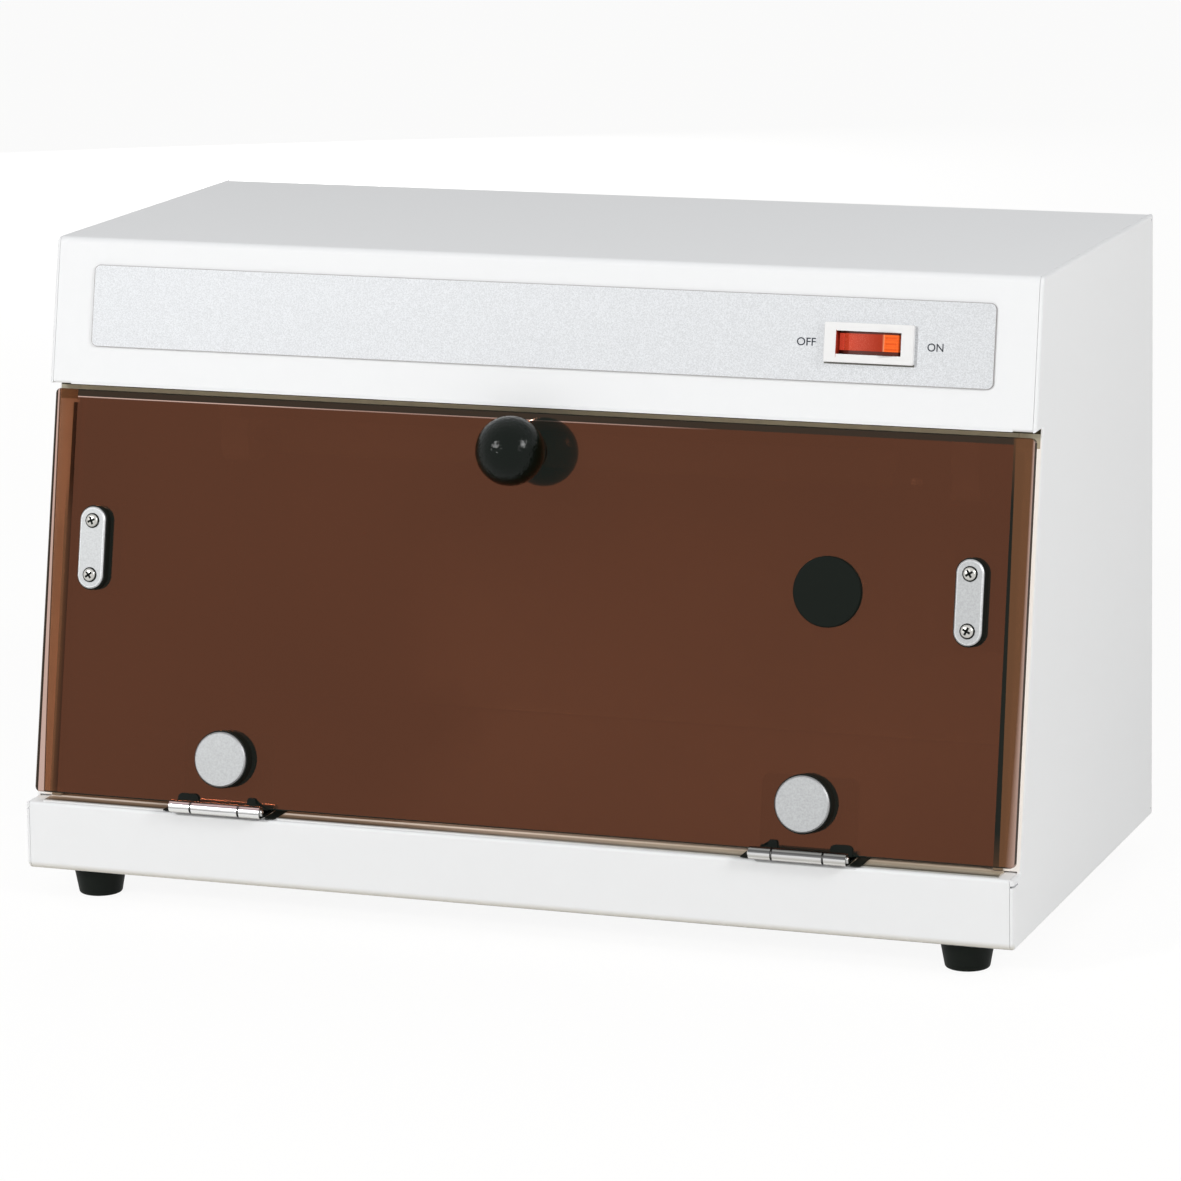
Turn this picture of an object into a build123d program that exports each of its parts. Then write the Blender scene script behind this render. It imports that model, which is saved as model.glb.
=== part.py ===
from build123d import *
import math
import os

# A bench cabinet with a tinted drop-down door, a germicidal lamp in its ceiling and a sloping switch panel.
# X runs to the right, +Y to the back and +Z up. The origin is on the bench, below the middle of the cabinet.
# Places on the front are given in the door's and the fascia's tilted frames, as (across, up the slope, out).

# Cabinet
WIDTH = 395.0
DEPTH = 205.0
FASCIA_H = 55.7  # height of the fascia, without its slope
LEAN = 11.0  # backward lean of fascia and door, degrees
SHEET = 1.0
SEAM = 0.15  # paint gap between two folded sheets
FLANGE = 9.0  # width of the folds inside the side panels
CORNER_R = 1.4
TOP_BEND_R = 3.0
BASE_BEND_R = 3.0
SMALL_BEND_R = 1.2
LEDGE_RISE = 26.7  # height of the painted ledge above the cabinet's bottom
LEDGE_DEPTH = 20.0
LEDGE_LIP = 7.0
FASCIA_PROUD = 2.93  # of the fascia in front of the door's face
STOP_LIP = 5.2  # how far the door stop hangs below the fascia
STOP_EXTRA_LEAN = 0.4  # of the faces behind the door, beyond the door's own lean, degrees
STOP_GAP = 1.07  # between those faces and the door, at the height of the ledge
REAR_LIP = 14.0
RELIEF_R = 0.5
RELIEF_AT_FASCIA = (4.2, 0.4)  # relief holes: behind and above the fascia's lower edge
RELIEF_AT_LEDGE = (6.6, 7.0)  # behind the front and above the ledge
RELIEF_AT_TOP = (3.2, 2.0)  # in from the rear and below the top
RELIEF_AT_BOTTOM = (3.3, 3.1)  # in from the rear and above the bottom
SLIT_DROP = 2.2
SLIT_WIDTH = 0.8
SLIT_DEPTH = 6.2

# Feet
FOOT_H = 12.0
FOOT_TOP_R = 10.5
FOOT_BOTTOM_R = 8.3
FOOT_INSET_X = 22.5
FOOT_INSET_Y = 18.0
FOOT_RECESS_R = 5.0
FOOT_RECESS = 6.0
FOOT_ROUND = 1.0
FOOT_SCREW_R = 2.0
FOOT_SCREW_HEAD_R = 4.0
FOOT_SCREW_HEAD_H = 2.4
FOOT_SCREW_PROUD = 0.8
FOOT_NUT_AF = 7.0
FOOT_NUT_T = 3.2

# Door
DOOR_SIDE_GAP = 1.4  # from the door's edge to the cabinet's side face
DOOR_TOP_GAP = 1.85
DOOR_H = 156.3
DOOR_T = 4.0
DOOR_FACE_Y = 5.4  # door's lower front edge behind the base front
DOOR_FOOT_Z = 29.5  # and its height above the cabinet's bottom
DOOR_CORNER_R = 2.0
DOOR_CHAMFER = 0.4

# Knob
KNOB_R = 13.1
KNOB_OUT = 18.2  # ball centre in front of the door
KNOB_DROP = 14.7  # ball centre below the door's top edge
KNOB_NECK_R = 6.5
KNOB_FOOT_R = 8.0
KNOB_FOOT_T = 1.6
KNOB_SCREW_R = 2.5
KNOB_SCREW_IN = 17.0
KNOB_HEAD_R = 4.75
KNOB_HEAD_H = 3.0
KNOB_WASHER_R = 7.0
KNOB_WASHER_T = 1.0

# Black plug in the door
PLUG_INSET = 77.0
PLUG_UP = 96.1
PLUG_HEAD_R = 13.2
PLUG_HEAD_T = 1.2
PLUG_SHANK_R = 11.0
PLUG_RIM_R = 11.8
PLUG_RIM_T = 1.6
PLUG_HOLE_GAP = 0.1
PLUG_WALL = 1.6

# Magnetic catch, one at each side
CATCH_INSET = 22.0
CATCH_UP = 95.5
CATCH_W = 10.5
CATCH_H = 31.6
CATCH_PLATE_T = 1.5
CATCH_PAD_T = 3.0
CATCH_STRIKE_T = 1.5
CATCH_PITCH = 20.9
CATCH_SCREW_R = 1.25
CATCH_HEAD_R = 2.3
CATCH_HEAD_H = 1.3
CATCH_EDGE = 0.5
CATCH_GAP = 0.3  # air gap between strike and magnet
MAGNET_W = 17.0
MAGNET_H = 36.0
MAGNET_DEPTH = 14.0
MAGNET_POLE_T = 1.2
MAGNET_POLE_PITCH = 6.0
MAGNET_POLE_PROUD = 0.5
MAGNET_POLE_H = 30.0
MAGNET_POLE_IN = 6.0
MAGNET_FOOT_IN = 6.0

# Hinges
HINGE_INSET = 81.1
HINGE_AXIS_Y = -1.8  # in front of the base front
HINGE_R = 2.4
HINGE_PIN_R = 1.3
HINGE_PIN_GAP = 0.06
HINGE_MIDDLE = 19.4
HINGE_OUTER = 8.6
HINGE_GAP = 0.4
HINGE_PIN_END = 0.8
HINGE_LEAF_T = 0.8
HINGE_LEAF_DEPTH = 20.0  # from the base front
HINGE_SCREW_Y = 16.5
HINGE_SCREW_X = 5.5
HINGE_SCREW_R = 1.2
HINGE_SCREW_HEAD_R = 2.3
HINGE_SCREW_HEAD_H = 1.0
HINGE_SCREW_LEN = 4.0
HINGE_PAD_T = 0.4
HINGE_PAD_EXTRA = 4.5
HINGE_PAD_FRONT = 0.6
HINGE_PAD_BACK = 24.0
HINGE_PAD_SLOT_BACK = 13.0
HINGE_TAB_UP = 27.0  # height of the leaf behind the door
HINGE_TAB_FROM = 1.5
HINGE_TAB_CORNER_R = 3.0
HINGE_GASKET_T = 1.0
HINGE_GASKET_FOLD = 0.25
HINGE_LOBE_W = 8.6
HINGE_LOBE_UP = 6.5
HINGE_LOBE_R = 2.0
HINGE_BEND_R = 1.0
CLAMP_UP = 18.0
CLAMP_R = 10.5
CLAMP_DISC_T = 1.5
CLAMP_DISC_CHAMFER = 0.5
CLAMP_WASHER_T = 4.5
CLAMP_WASHER_R = 10.3
CLAMP_STUD_R = 2.0
CLAMP_NUT_AF = 7.0
CLAMP_NUT_T = 3.2
CLAMP_STUD_PROUD = 1.0
HOLE_GAP = 0.1

# Chamber
LINER_T = 0.5
LINER_INSET = 6.5
LINER_LIP_Y = 1.8
CHAMBER_BACK_INSET = 15.0
CEILING_DROP = 1.3  # of the chamber's ceiling below the fascia's lower edge
LINER_BEND_R = 1.0
SIDE_LINER_GAP = 0.2
SIDE_LINER_FLANGE = 4.5
SEAL_PROUD = 1.6
SEAL_T = 2.4
SEAL_BITE = 2.2
SEAL_TOP_GAP = 3.4  # between the seals and the door's upper stop

# Lamp
LAMP_TO_BACK = 78.0
LAMP_DROP = 30.0  # lamp axis below the chamber's ceiling
LAMP_R = 8.0
LAMP_LEN = 288.0
LAMP_WALL = 0.9
LAMP_CAP = 12.0
LAMP_CAP_WALL = 0.3
LAMP_CAP_END = 2.0
LAMP_PIN_GAP = 0.05
LAMP_PIN_R = 1.0
LAMP_PIN_LEN = 6.8
LAMP_PIN_PITCH = 4.8
HOLDER_W = 12.0
HOLDER_D = 22.0
HOLDER_BELOW = 11.0
HOLDER_GAP = 0.3
REFLECTOR_T = 0.5
REFLECTOR_END_GAP = 9.0
REFLECTOR_TOP_W = 30.0
REFLECTOR_SIDE_W = 26.0
REFLECTOR_DROP = 16.0

# Electrical parts over the chamber
DECK_ROW_INSET = 65.0  # of the row of parts, from the rear
BALLAST_X = -70.0
BALLAST_L = 85.0
BALLAST_W = 41.0
BALLAST_H = 33.0
BALLAST_EAR = 11.5
BALLAST_FOOT_T = 1.5
STARTER_X = 30.0
STARTER_R = 10.75
STARTER_H = 36.0
STARTER_BASE = 30.0
STARTER_BASE_H = 9.0
TERMINAL_X = 95.0
TERMINAL_W = 17.0
TERMINAL_H = 14.0
TERMINAL_POLE = 8.0
TERMINAL_POLES = 6
TERMINAL_TUBE_R = 2.6

# Rocker switch
SWITCH_INSET = 64.5
SWITCH_UP = 29.7
BEZEL_SIDE_BORDER = 4.7
BEZEL_BORDER = 3.1
BEZEL_T = 2.0
BEZEL_EDGE = 0.6
OPENING_W = 24.9
OPENING_H = 8.6
ROCKER_GAP = 0.1
ROCKER_PIVOT_IN = 2.0  # pivot behind the plate's face
ROCKER_RIDGE_X = 7.2
ROCKER_RIDGE_OUT = 4.4
ROCKER_END_OUT = 2.4
ROCKER_SAG = 0.5
ROCKER_RIB_W = 1.0
ROCKER_RIB_DEEP = 0.3
ROCKER_RIBS = 3
ROCKER_KEEL_X = 6.0
ROCKER_KEEL_IN = 6.5
ROCKER_SHOULDER_IN = 3.5
ROCKER_TURNS = 22.0
TRUNNION_R = 1.2
TRUNNION_GAP = 0.08
TRUNNION_LEN = 1.2
SWITCH_END_WALL = 1.55
SWITCH_WALL = 1.8
SWITCH_BODY_D = 22.0
SWITCH_CAVITY = 10.5
SWITCH_TAB_W = 4.8
SWITCH_TAB_T = 0.8
SWITCH_TAB_LEN = 8.0
SWITCH_TAB_PITCH = 8.0
SWITCH_TAB_IN = 3.0

# Fascia plate
PLATE_INSET = 17.0
PLATE_H = 31.6
PLATE_T = 0.6
PLATE_UP = 30.7
PLATE_CORNER_R = 2.5

# Door interlock
INTERLOCK_INSET = 47.5
INTERLOCK_DROP = 18.3
INTERLOCK_L = 20.0
INTERLOCK_W = 6.4
INTERLOCK_D = 10.0
INTERLOCK_FRONT = 7.0  # front of its body behind the door's back
INTERLOCK_BRACKET_T = 1.5
INTERLOCK_FOOT = 8.0
PLUNGER_R = 1.5
PLUNGER_BORE_GAP = 0.1
PLUNGER_IN = 5.0
PLUNGER_STROKE = 2.5
PLUNGER_GAP = 0.3

# Mains inlet in the back
INLET_INSET = 57.5
INLET_DROP = 41.0
INLET_RIM = 2.0
INLET_PROUD = 2.5
INLET_END_WALL = 1.3
INLET_WALL = 1.6
INLET_BODY_D = 21.0
INLET_CAVITY_W = 24.4
INLET_CAVITY_H = 16.8
INLET_CAVITY_D = 17.0
INLET_CORNER = 4.5
INLET_PIN_W = 2.0
INLET_PIN_H = 4.0
INLET_PIN_LEN = 14.0
INLET_PIN_PITCH = 7.0
INLET_PIN_RISE = 2.0

# Back panel
VENT_COUNT = 12
VENT_PITCH = 9.0
VENT_W = 3.5
VENT_H = 26.0
VENT_X = 20.0
CASE_SCREW_R = 1.5
CASE_HEAD_R = 2.9
CASE_HEAD_H = 1.9
CASE_SCREW_LEN = 6.0
CASE_SCREW_INSET_X = 5.5
CASE_SCREW_END = 29.5
CASE_SCREW_MID_X = 90.0
CASE_SCREW_INSET_Z = 8.0
CROSS_W = 0.7
CROSS_DEEP = 0.7
HEAD_DOME = 0.45  # rounding of a head's rim, as a share of its height
SCREW_GAP = 0.1
THREAD_GAP = 0.05
SHARP_R = 0.05  # an inner bend below this radius stays sharp
BACK_INSET = 1.5  # of the back panel from bottom and top
BEZEL_ROUND = 0.4
FASCIA_CUT = 6.0
HINGE_GASKET_WRAP = -0.4  # how far the tongues reach behind the door's back

# Worked-out places
half_w = WIDTH / 2
lean = math.radians(LEAN)
stop_lean = math.radians(LEAN + STOP_EXTRA_LEAN)
hinge_len = HINGE_MIDDLE + 2 * HINGE_OUTER + 2 * HINGE_GAP
front_reach = HINGE_R - HINGE_AXIS_Y
front_y = (front_reach - DEPTH - INLET_PROUD) / 2  # the base front, with the whole object centred on Y
rear_y = front_y + DEPTH
bottom_z = FOOT_H
ledge_z = bottom_z + LEDGE_RISE
floor_z = ledge_z + LINER_T
pad_z = floor_z + HINGE_PAD_T
axis_y = front_y + HINGE_AXIS_Y
axis_z = pad_z + HINGE_R
door_origin_y = front_y + DOOR_FACE_Y
door_origin_z = bottom_z + DOOR_FOOT_Z
door_back_y = door_origin_y - (door_origin_z - ledge_z) * math.tan(lean) + DOOR_T / math.cos(lean)


def door_point(up, out):
    """(y, z) of a point given in the door's frame."""
    y = door_origin_y + up * math.sin(lean) - out * math.cos(lean)
    return (y, door_origin_z + up * math.cos(lean) + out * math.sin(lean))


fascia_y, fascia_z = door_point(DOOR_H + DOOR_TOP_GAP, FASCIA_PROUD)
top_z = fascia_z + FASCIA_H


def stop_y(z):
    """Front of the faces that the door closes against, at a height."""
    return door_back_y + STOP_GAP + (z - ledge_z) * math.tan(stop_lean)


def fascia_plane_y(z):
    return fascia_y + (z - fascia_z) * math.tan(lean)


cover_half = half_w - CORNER_R - SEAM
fold_in = SHEET + SEAM
panel_y = rear_y - SEAM
liner_half = half_w - LINER_INSET
ceiling_z = fascia_z - CEILING_DROP
deck_z = ceiling_z + LINER_T
chamber_back = rear_y - CHAMBER_BACK_INSET
seal_top = fascia_z - STOP_LIP - SEAL_TOP_GAP
lamp_y = chamber_back - LAMP_TO_BACK
lamp_z = ceiling_z - LAMP_DROP
deck_row_y = rear_y - DECK_ROW_INSET
foot_place_x = half_w - FOOT_INSET_X
foot_places_y = (front_y + FOOT_INSET_Y, rear_y - FOOT_INSET_Y)
foot_screw_len = FOOT_H - FOOT_RECESS + SHEET + FOOT_NUT_T + FOOT_SCREW_PROUD
knob_up = DOOR_H - KNOB_DROP
plug_x = half_w - PLUG_INSET
catch_x = half_w - CATCH_INSET
hinge_x = half_w - HINGE_INSET
switch_x = half_w - SWITCH_INSET
switch_w = OPENING_W + 2 * SWITCH_END_WALL
switch_h = OPENING_H + 2 * SWITCH_WALL
interlock_x = half_w - INTERLOCK_INSET
interlock_up = DOOR_H - INTERLOCK_DROP
inlet_x = INLET_INSET - half_w
inlet_z = top_z - INLET_DROP
inlet_body_w = INLET_CAVITY_W + 2 * INLET_END_WALL
inlet_body_h = INLET_CAVITY_H + 2 * INLET_WALL
case_screw_x = half_w - CASE_SCREW_INSET_X
case_screw_rows = (bottom_z + CASE_SCREW_END, (bottom_z + top_z) / 2, top_z - CASE_SCREW_END)
relief_places = (
    (fascia_y + RELIEF_AT_FASCIA[0], fascia_z + RELIEF_AT_FASCIA[1]),
    (front_y + RELIEF_AT_LEDGE[0], ledge_z + RELIEF_AT_LEDGE[1]),
    (rear_y - RELIEF_AT_TOP[0], top_z - RELIEF_AT_TOP[1]),
    (rear_y - RELIEF_AT_BOTTOM[0], bottom_z + RELIEF_AT_BOTTOM[1]),
)

out_dir = (0, -math.cos(lean), math.sin(lean))
door_frame = Plane(origin=(0, door_origin_y, door_origin_z), x_dir=(1, 0, 0), z_dir=out_dir)
fascia_frame = Plane(origin=(0, fascia_y, fascia_z), x_dir=(1, 0, 0), z_dir=out_dir)
inlet_place = Plane(origin=(inlet_x, rear_y, inlet_z), x_dir=(-1, 0, 0), z_dir=(0, 1, 0))


# Shared shapes
def save(shape, name):
    export_step(shape, "parts/" + name + ".step")


def group(shapes):
    return Compound(children=[solid for shape in shapes for solid in shape.solids()])


def both(shape):
    """A piece and its mirror image at the other side."""
    return group([shape, mirror(shape, about=Plane.YZ)])


def save_pair(shape, name):
    save(shape, name + "_right")
    save(mirror(shape, about=Plane.YZ), name + "_left")


def rounded(outline, rounds=()):
    """A face over corner points; rounds are (corner, radius) pairs."""
    face = make_face(Polyline(*outline, close=True))
    for corner, radius in rounds:
        point = Vector(outline[corner][0], outline[corner][1], 0)
        face = fillet(face.vertices().sort_by_distance(point)[0], radius)
    return face


def prism(outline, x0, x1, rounds=()):
    """A solid along X over an outline in (y, z)."""
    return extrude(Plane.YZ.offset(x0) * rounded(outline, rounds), amount=x1 - x0)


def block(x0, x1, y0, y1, z0, z1):
    return Pos((x0 + x1) / 2, (y0 + y1) / 2, (z0 + z1) / 2) * Box(x1 - x0, y1 - y0, z1 - z0)


def rod(radius, x, y, z0, z1):
    """A round bar along the local Z."""
    return Pos(x, y, (z0 + z1) / 2) * Cylinder(radius, z1 - z0)


def rod_x(radius, y, z, x0, x1):
    return Pos((x0 + x1) / 2, y, z) * Rot(0, 90, 0) * Cylinder(radius, x1 - x0)


def rod_y(radius, x, z, y0, y1):
    return Pos(x, (y0 + y1) / 2, z) * Rot(90, 0, 0) * Cylinder(radius, y1 - y0)


def offset_path(points, distance, closed=False):
    """The path moved to its left by a distance, with sharp corners."""
    def shifted(p, q):
        dy = q[0] - p[0]
        dz = q[1] - p[1]
        run = math.hypot(dy, dz)
        return (p[0] - dz / run * distance, p[1] + dy / run * distance, dy, dz)

    def meet(a, b):
        cross = a[2] * b[3] - a[3] * b[2]
        t = ((b[0] - a[0]) * b[3] - (b[1] - a[1]) * b[2]) / cross
        return (a[0] + t * a[2], a[1] + t * a[3])

    if closed:
        ring = points + points[:1]
        lines = [shifted(p, q) for p, q in zip(ring, ring[1:])]
        return [meet(a, b) for a, b in zip(lines[-1:] + lines[:-1], lines)]
    lines = [shifted(p, q) for p, q in zip(points, points[1:])]
    corners = [meet(a, b) for a, b in zip(lines, lines[1:])]
    last = lines[-1]
    return [lines[0][:2]] + corners + [(last[0] + last[2], last[1] + last[3])]


def folded_sheet(path, thickness, x0, x1, bends):
    """A sheet along a path in (y, z), its body to the path's left; bends are (corner, radius on the path)."""
    inner = offset_path(path, thickness)
    rounds = []
    for corner, radius in bends:
        before = (path[corner][0] - path[corner - 1][0], path[corner][1] - path[corner - 1][1])
        after = (path[corner + 1][0] - path[corner][0], path[corner + 1][1] - path[corner][1])
        turn = before[0] * after[1] - before[1] * after[0]
        other = radius - thickness if turn > 0 else radius + thickness
        rounds.append((corner, radius))
        if other > SHARP_R:
            rounds.append((2 * len(path) - 1 - corner, other))
    return prism(path + inner[::-1], x0, x1, rounds)


def cross_cut(depth):
    """A screwdriver's cross, cut down from the origin."""
    reach = CROSS_W * 4
    return Pos(0, 0, -depth / 2) * (Box(reach, CROSS_W, depth) + Box(CROSS_W, reach, depth))


def pan_screw(radius, head_r, head_h, length):
    """A cross-head screw along -Z, its head's seat at the origin."""
    head = Cylinder(head_r, head_h, align=(Align.CENTER, Align.CENTER, Align.MIN))
    head = fillet(head.edges().sort_by(Axis.Z)[-1], head_h * HEAD_DOME)
    shank = Cylinder(radius, length, align=(Align.CENTER, Align.CENTER, Align.MAX))
    return head + shank - Pos(0, 0, head_h) * cross_cut(CROSS_DEEP)


def hex_nut(across, thickness, bore):
    """A nut standing up from the origin."""
    nut = extrude(RegularPolygon(across / 2, 6, major_radius=False), amount=thickness)
    return nut - Cylinder(bore, thickness * 3)


def case_hole(x, z):
    """Clearance hole through the rear folds and the back panel."""
    return rod_y(CASE_SCREW_R + SCREW_GAP, x, z, panel_y - 4 * SHEET, panel_y + SHEET)


def rear_notches(z0, z1):
    """Room at both rear corners of a cover for the side panels' folds."""
    reach = FLANGE + SEAM
    rear = rear_y - fold_in
    notch = block(half_w - reach, half_w + reach, rear - 2 * SHEET, rear + SHEET, z0, z1)
    return both(notch)


# Cabinet shell
def cheek_face(inset):
    """The cabinet's side outline, moved inwards by an inset."""
    outline = [
        (front_y, bottom_z),
        (rear_y, bottom_z),
        (rear_y, top_z),
        (fascia_plane_y(top_z), top_z),
        (fascia_y, fascia_z),
        (stop_y(fascia_z), fascia_z),
        (stop_y(ledge_z), ledge_z),
        (front_y, ledge_z),
    ]
    rounds = [(0, BASE_BEND_R - inset), (3, TOP_BEND_R - inset)]
    return Plane.YZ * rounded(offset_path(outline, inset, closed=True), rounds)


def side_panel():
    """Right side sheet: rim, joggled folds under the covers and the stop face behind the door."""
    def layer(face, x0, x1):
        return extrude(Pos(x0, 0, 0) * face, amount=x1 - x0)

    whole = cheek_face(0)
    under = cheek_face(fold_in)
    deep = cheek_face(fold_in + SHEET)
    sheet_x = half_w - SHEET
    rim_x = half_w - CORNER_R
    fold_x = half_w - FLANGE
    panel = layer(whole, rim_x, half_w)
    panel = fillet(panel.edges().group_by(Axis.X)[-1], CORNER_R - SEAM)
    panel -= layer(deep, rim_x - SHEET, sheet_x)
    fold = layer(under, fold_x, half_w - SHEET / 2) - layer(deep, fold_x - SHEET, half_w)
    gap_low = ledge_z - fold_in - SHEET
    gap_high = fascia_z + fold_in + SHEET
    gap_back = stop_y(gap_high) + 3 * SHEET
    fold -= block(fold_x - SHEET, half_w, front_y + 2 * SHEET, gap_back, gap_low, gap_high)
    stop_low = floor_z + SEAM
    stop = [
        (stop_y(stop_low), stop_low),
        (stop_y(fascia_z), fascia_z),
        (stop_y(fascia_z) + SHEET, fascia_z),
        (stop_y(stop_low) + SHEET, stop_low),
    ]
    panel += fold
    panel += prism(stop, fold_x, sheet_x + SHEET / 2)
    slit_z = ledge_z - SLIT_DROP
    slit_y = front_y + SLIT_DEPTH
    panel -= block(sheet_x - SHEET, half_w + SHEET, front_y - SHEET, slit_y, slit_z - SLIT_WIDTH, slit_z)
    for y, z in relief_places:
        panel -= rod_x(RELIEF_R, y, z, sheet_x - SHEET, half_w + SHEET)
    for z in case_screw_rows:
        panel -= case_hole(case_screw_x, z)
    return panel


def top_cover():
    """Fascia, top, rear lip and the door's upper stop, folded from one sheet."""
    stop_z = fascia_z - STOP_LIP
    inner_half = half_w - FLANGE - SEAM
    rear = rear_y - fold_in
    path = [
        (rear, top_z - REAR_LIP),
        (rear, top_z),
        (fascia_plane_y(top_z), top_z),
        (fascia_y, fascia_z),
        (stop_y(fascia_z), fascia_z),
    ]
    bends = [(1, SMALL_BEND_R), (2, TOP_BEND_R), (3, SMALL_BEND_R)]
    cover = folded_sheet(path, SHEET, -cover_half, cover_half, bends)
    lip = path[3:] + [(stop_y(stop_z), stop_z)]
    cover += folded_sheet(lip, SHEET, -inner_half, inner_half, [])
    cover -= rear_notches(bottom_z, top_z - SHEET)
    for x in (-CASE_SCREW_MID_X, CASE_SCREW_MID_X):
        cover -= case_hole(x, top_z - CASE_SCREW_INSET_Z)
    hole = Box(switch_w + 2 * SEAM, switch_h + 2 * SEAM, FASCIA_CUT)
    return cover - fascia_frame * (Pos(switch_x, SWITCH_UP, 0) * hole)


def base_pan():
    """Bottom, front and ledge, folded from one sheet."""
    rear = rear_y - fold_in
    ledge_back = front_y + LEDGE_DEPTH
    path = [
        (ledge_back, ledge_z - LEDGE_LIP),
        (ledge_back, ledge_z),
        (front_y, ledge_z),
        (front_y, bottom_z),
        (rear, bottom_z),
        (rear, bottom_z + REAR_LIP),
    ]
    bends = [(1, SMALL_BEND_R), (2, SMALL_BEND_R), (3, BASE_BEND_R), (4, SMALL_BEND_R)]
    pan = folded_sheet(path, SHEET, -cover_half, cover_half, bends)
    pan -= rear_notches(bottom_z + SHEET, top_z)
    for x, y in foot_places():
        pan -= rod(FOOT_SCREW_R + SCREW_GAP, x, y, 0, bottom_z + 2 * SHEET)
    for x in (-CASE_SCREW_MID_X, CASE_SCREW_MID_X):
        pan -= case_hole(x, bottom_z + CASE_SCREW_INSET_Z)
    return pan - both(hinge_screw_holes(ledge_z - 2 * SHEET))


def case_screw_places():
    places = []
    for side in (-1, 1):
        for z in case_screw_rows:
            places.append((side * case_screw_x, z))
        places.append((side * CASE_SCREW_MID_X, bottom_z + CASE_SCREW_INSET_Z))
        places.append((side * CASE_SCREW_MID_X, top_z - CASE_SCREW_INSET_Z))
    return places


def back_panel():
    """Removable back with its row of vent slots and the inlet's hole."""
    edge = BACK_INSET
    panel = block(-cover_half, cover_half, panel_y - SHEET, panel_y, bottom_z + edge, top_z - edge)
    slot = Rot(90, 0, 0) * extrude(SlotOverall(VENT_H, VENT_W, rotation=90), amount=2 * SHEET, both=True)
    for n in range(VENT_COUNT):
        panel -= Pos(VENT_X + n * VENT_PITCH, panel_y, inlet_z) * slot
    for x, z in case_screw_places():
        panel -= case_hole(x, z)
    inlet_hole = Box(inlet_body_w + 2 * SEAM, 4 * SHEET, inlet_body_h + 2 * SEAM)
    return panel - Pos(inlet_x, panel_y, inlet_z) * inlet_hole


def back_screws():
    screw = Rot(-90, 0, 0) * pan_screw(CASE_SCREW_R, CASE_HEAD_R, CASE_HEAD_H, CASE_SCREW_LEN)
    return group([Pos(x, panel_y, z) * screw for x, z in case_screw_places()])


# Feet
def foot_places():
    return [(x, y) for x in (-foot_place_x, foot_place_x) for y in foot_places_y]


def foot():
    body = Pos(0, 0, FOOT_H / 2) * Cone(FOOT_BOTTOM_R, FOOT_TOP_R, FOOT_H)
    body = fillet(body.edges().sort_by(Axis.Z)[0], FOOT_ROUND)
    body -= Cylinder(FOOT_RECESS_R, 2 * FOOT_RECESS)
    return body - Cylinder(FOOT_SCREW_R + SCREW_GAP, 3 * FOOT_H)


def foot_screws():
    screw = Rot(180, 0, 0) * pan_screw(FOOT_SCREW_R, FOOT_SCREW_HEAD_R, FOOT_SCREW_HEAD_H, foot_screw_len)
    return group([Pos(x, y, FOOT_RECESS) * screw for x, y in foot_places()])


def foot_nuts():
    nut = hex_nut(FOOT_NUT_AF, FOOT_NUT_T, FOOT_SCREW_R + THREAD_GAP)
    return group([Pos(x, y, bottom_z + SHEET) * nut for x, y in foot_places()])


# Chamber
def chamber_liner():
    """Stainless floor, back and ceiling in one sheet, spot-welded behind the door's upper stop."""
    low = seal_top + STOP_LIP - LINER_T
    behind = (SHEET + LINER_T) / math.cos(stop_lean)
    path = [
        (stop_y(low) + behind, low),
        (stop_y(ceiling_z) + behind, ceiling_z),
        (chamber_back, ceiling_z),
        (chamber_back, floor_z),
        (front_y + LINER_LIP_Y, floor_z),
    ]
    liner = folded_sheet(path, LINER_T, -liner_half, liner_half, [(2, LINER_BEND_R), (3, LINER_BEND_R)])
    return liner - both(hinge_screw_holes(ledge_z - SHEET))


def chamber_side():
    """Stainless side of the chamber, its front fold welded behind the side panel's stop face."""
    low = floor_z + SEAM
    high = ceiling_z - SEAM
    x0 = liner_half + SIDE_LINER_GAP
    outline = [
        (stop_y(low) + SHEET, low),
        (chamber_back, low),
        (chamber_back, high),
        (stop_y(high) + SHEET, high),
    ]
    fold = [
        outline[0],
        (outline[0][0] + LINER_T, low),
        (outline[3][0] + LINER_T, high),
        outline[3],
    ]
    return prism(outline, x0, x0 + LINER_T) + prism(fold, x0, x0 + SIDE_LINER_FLANGE)


def door_seal():
    """Black edge trim on the inner edge of the stop face."""
    low = floor_z + 2 * SEAM
    high = seal_top
    edge_x = half_w - FLANGE
    skin = (SEAL_T - SHEET) / 2 / math.cos(stop_lean)

    def strip(x0, x1, before, behind):
        outline = [
            (stop_y(low) - before, low),
            (stop_y(low) + behind, low),
            (stop_y(high) + behind, high),
            (stop_y(high) - before, high),
        ]
        return prism(outline, x0, x1)

    trim = strip(edge_x - SEAL_PROUD, edge_x + SEAL_BITE, skin, SHEET + skin)
    inner_edges = trim.edges().filter_by(Axis.X, reverse=True).group_by(Axis.X)[0]
    trim = fillet(inner_edges.sort_by(Edge.length)[-2:], skin)
    return trim - strip(edge_x, edge_x + 2 * SEAL_BITE, 0, SHEET)


# Lamp
def reflector():
    """Folded trough of bright sheet over the lamp."""
    half = REFLECTOR_TOP_W / 2
    path = [
        (lamp_y + half + REFLECTOR_SIDE_W, ceiling_z - REFLECTOR_DROP),
        (lamp_y + half, ceiling_z - REFLECTOR_T),
        (lamp_y - half, ceiling_z - REFLECTOR_T),
        (lamp_y - half - REFLECTOR_SIDE_W, ceiling_z - REFLECTOR_DROP),
    ]
    reach = LAMP_LEN / 2 - REFLECTOR_END_GAP
    return folded_sheet(path, -REFLECTOR_T, -reach, reach, [])


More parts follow.
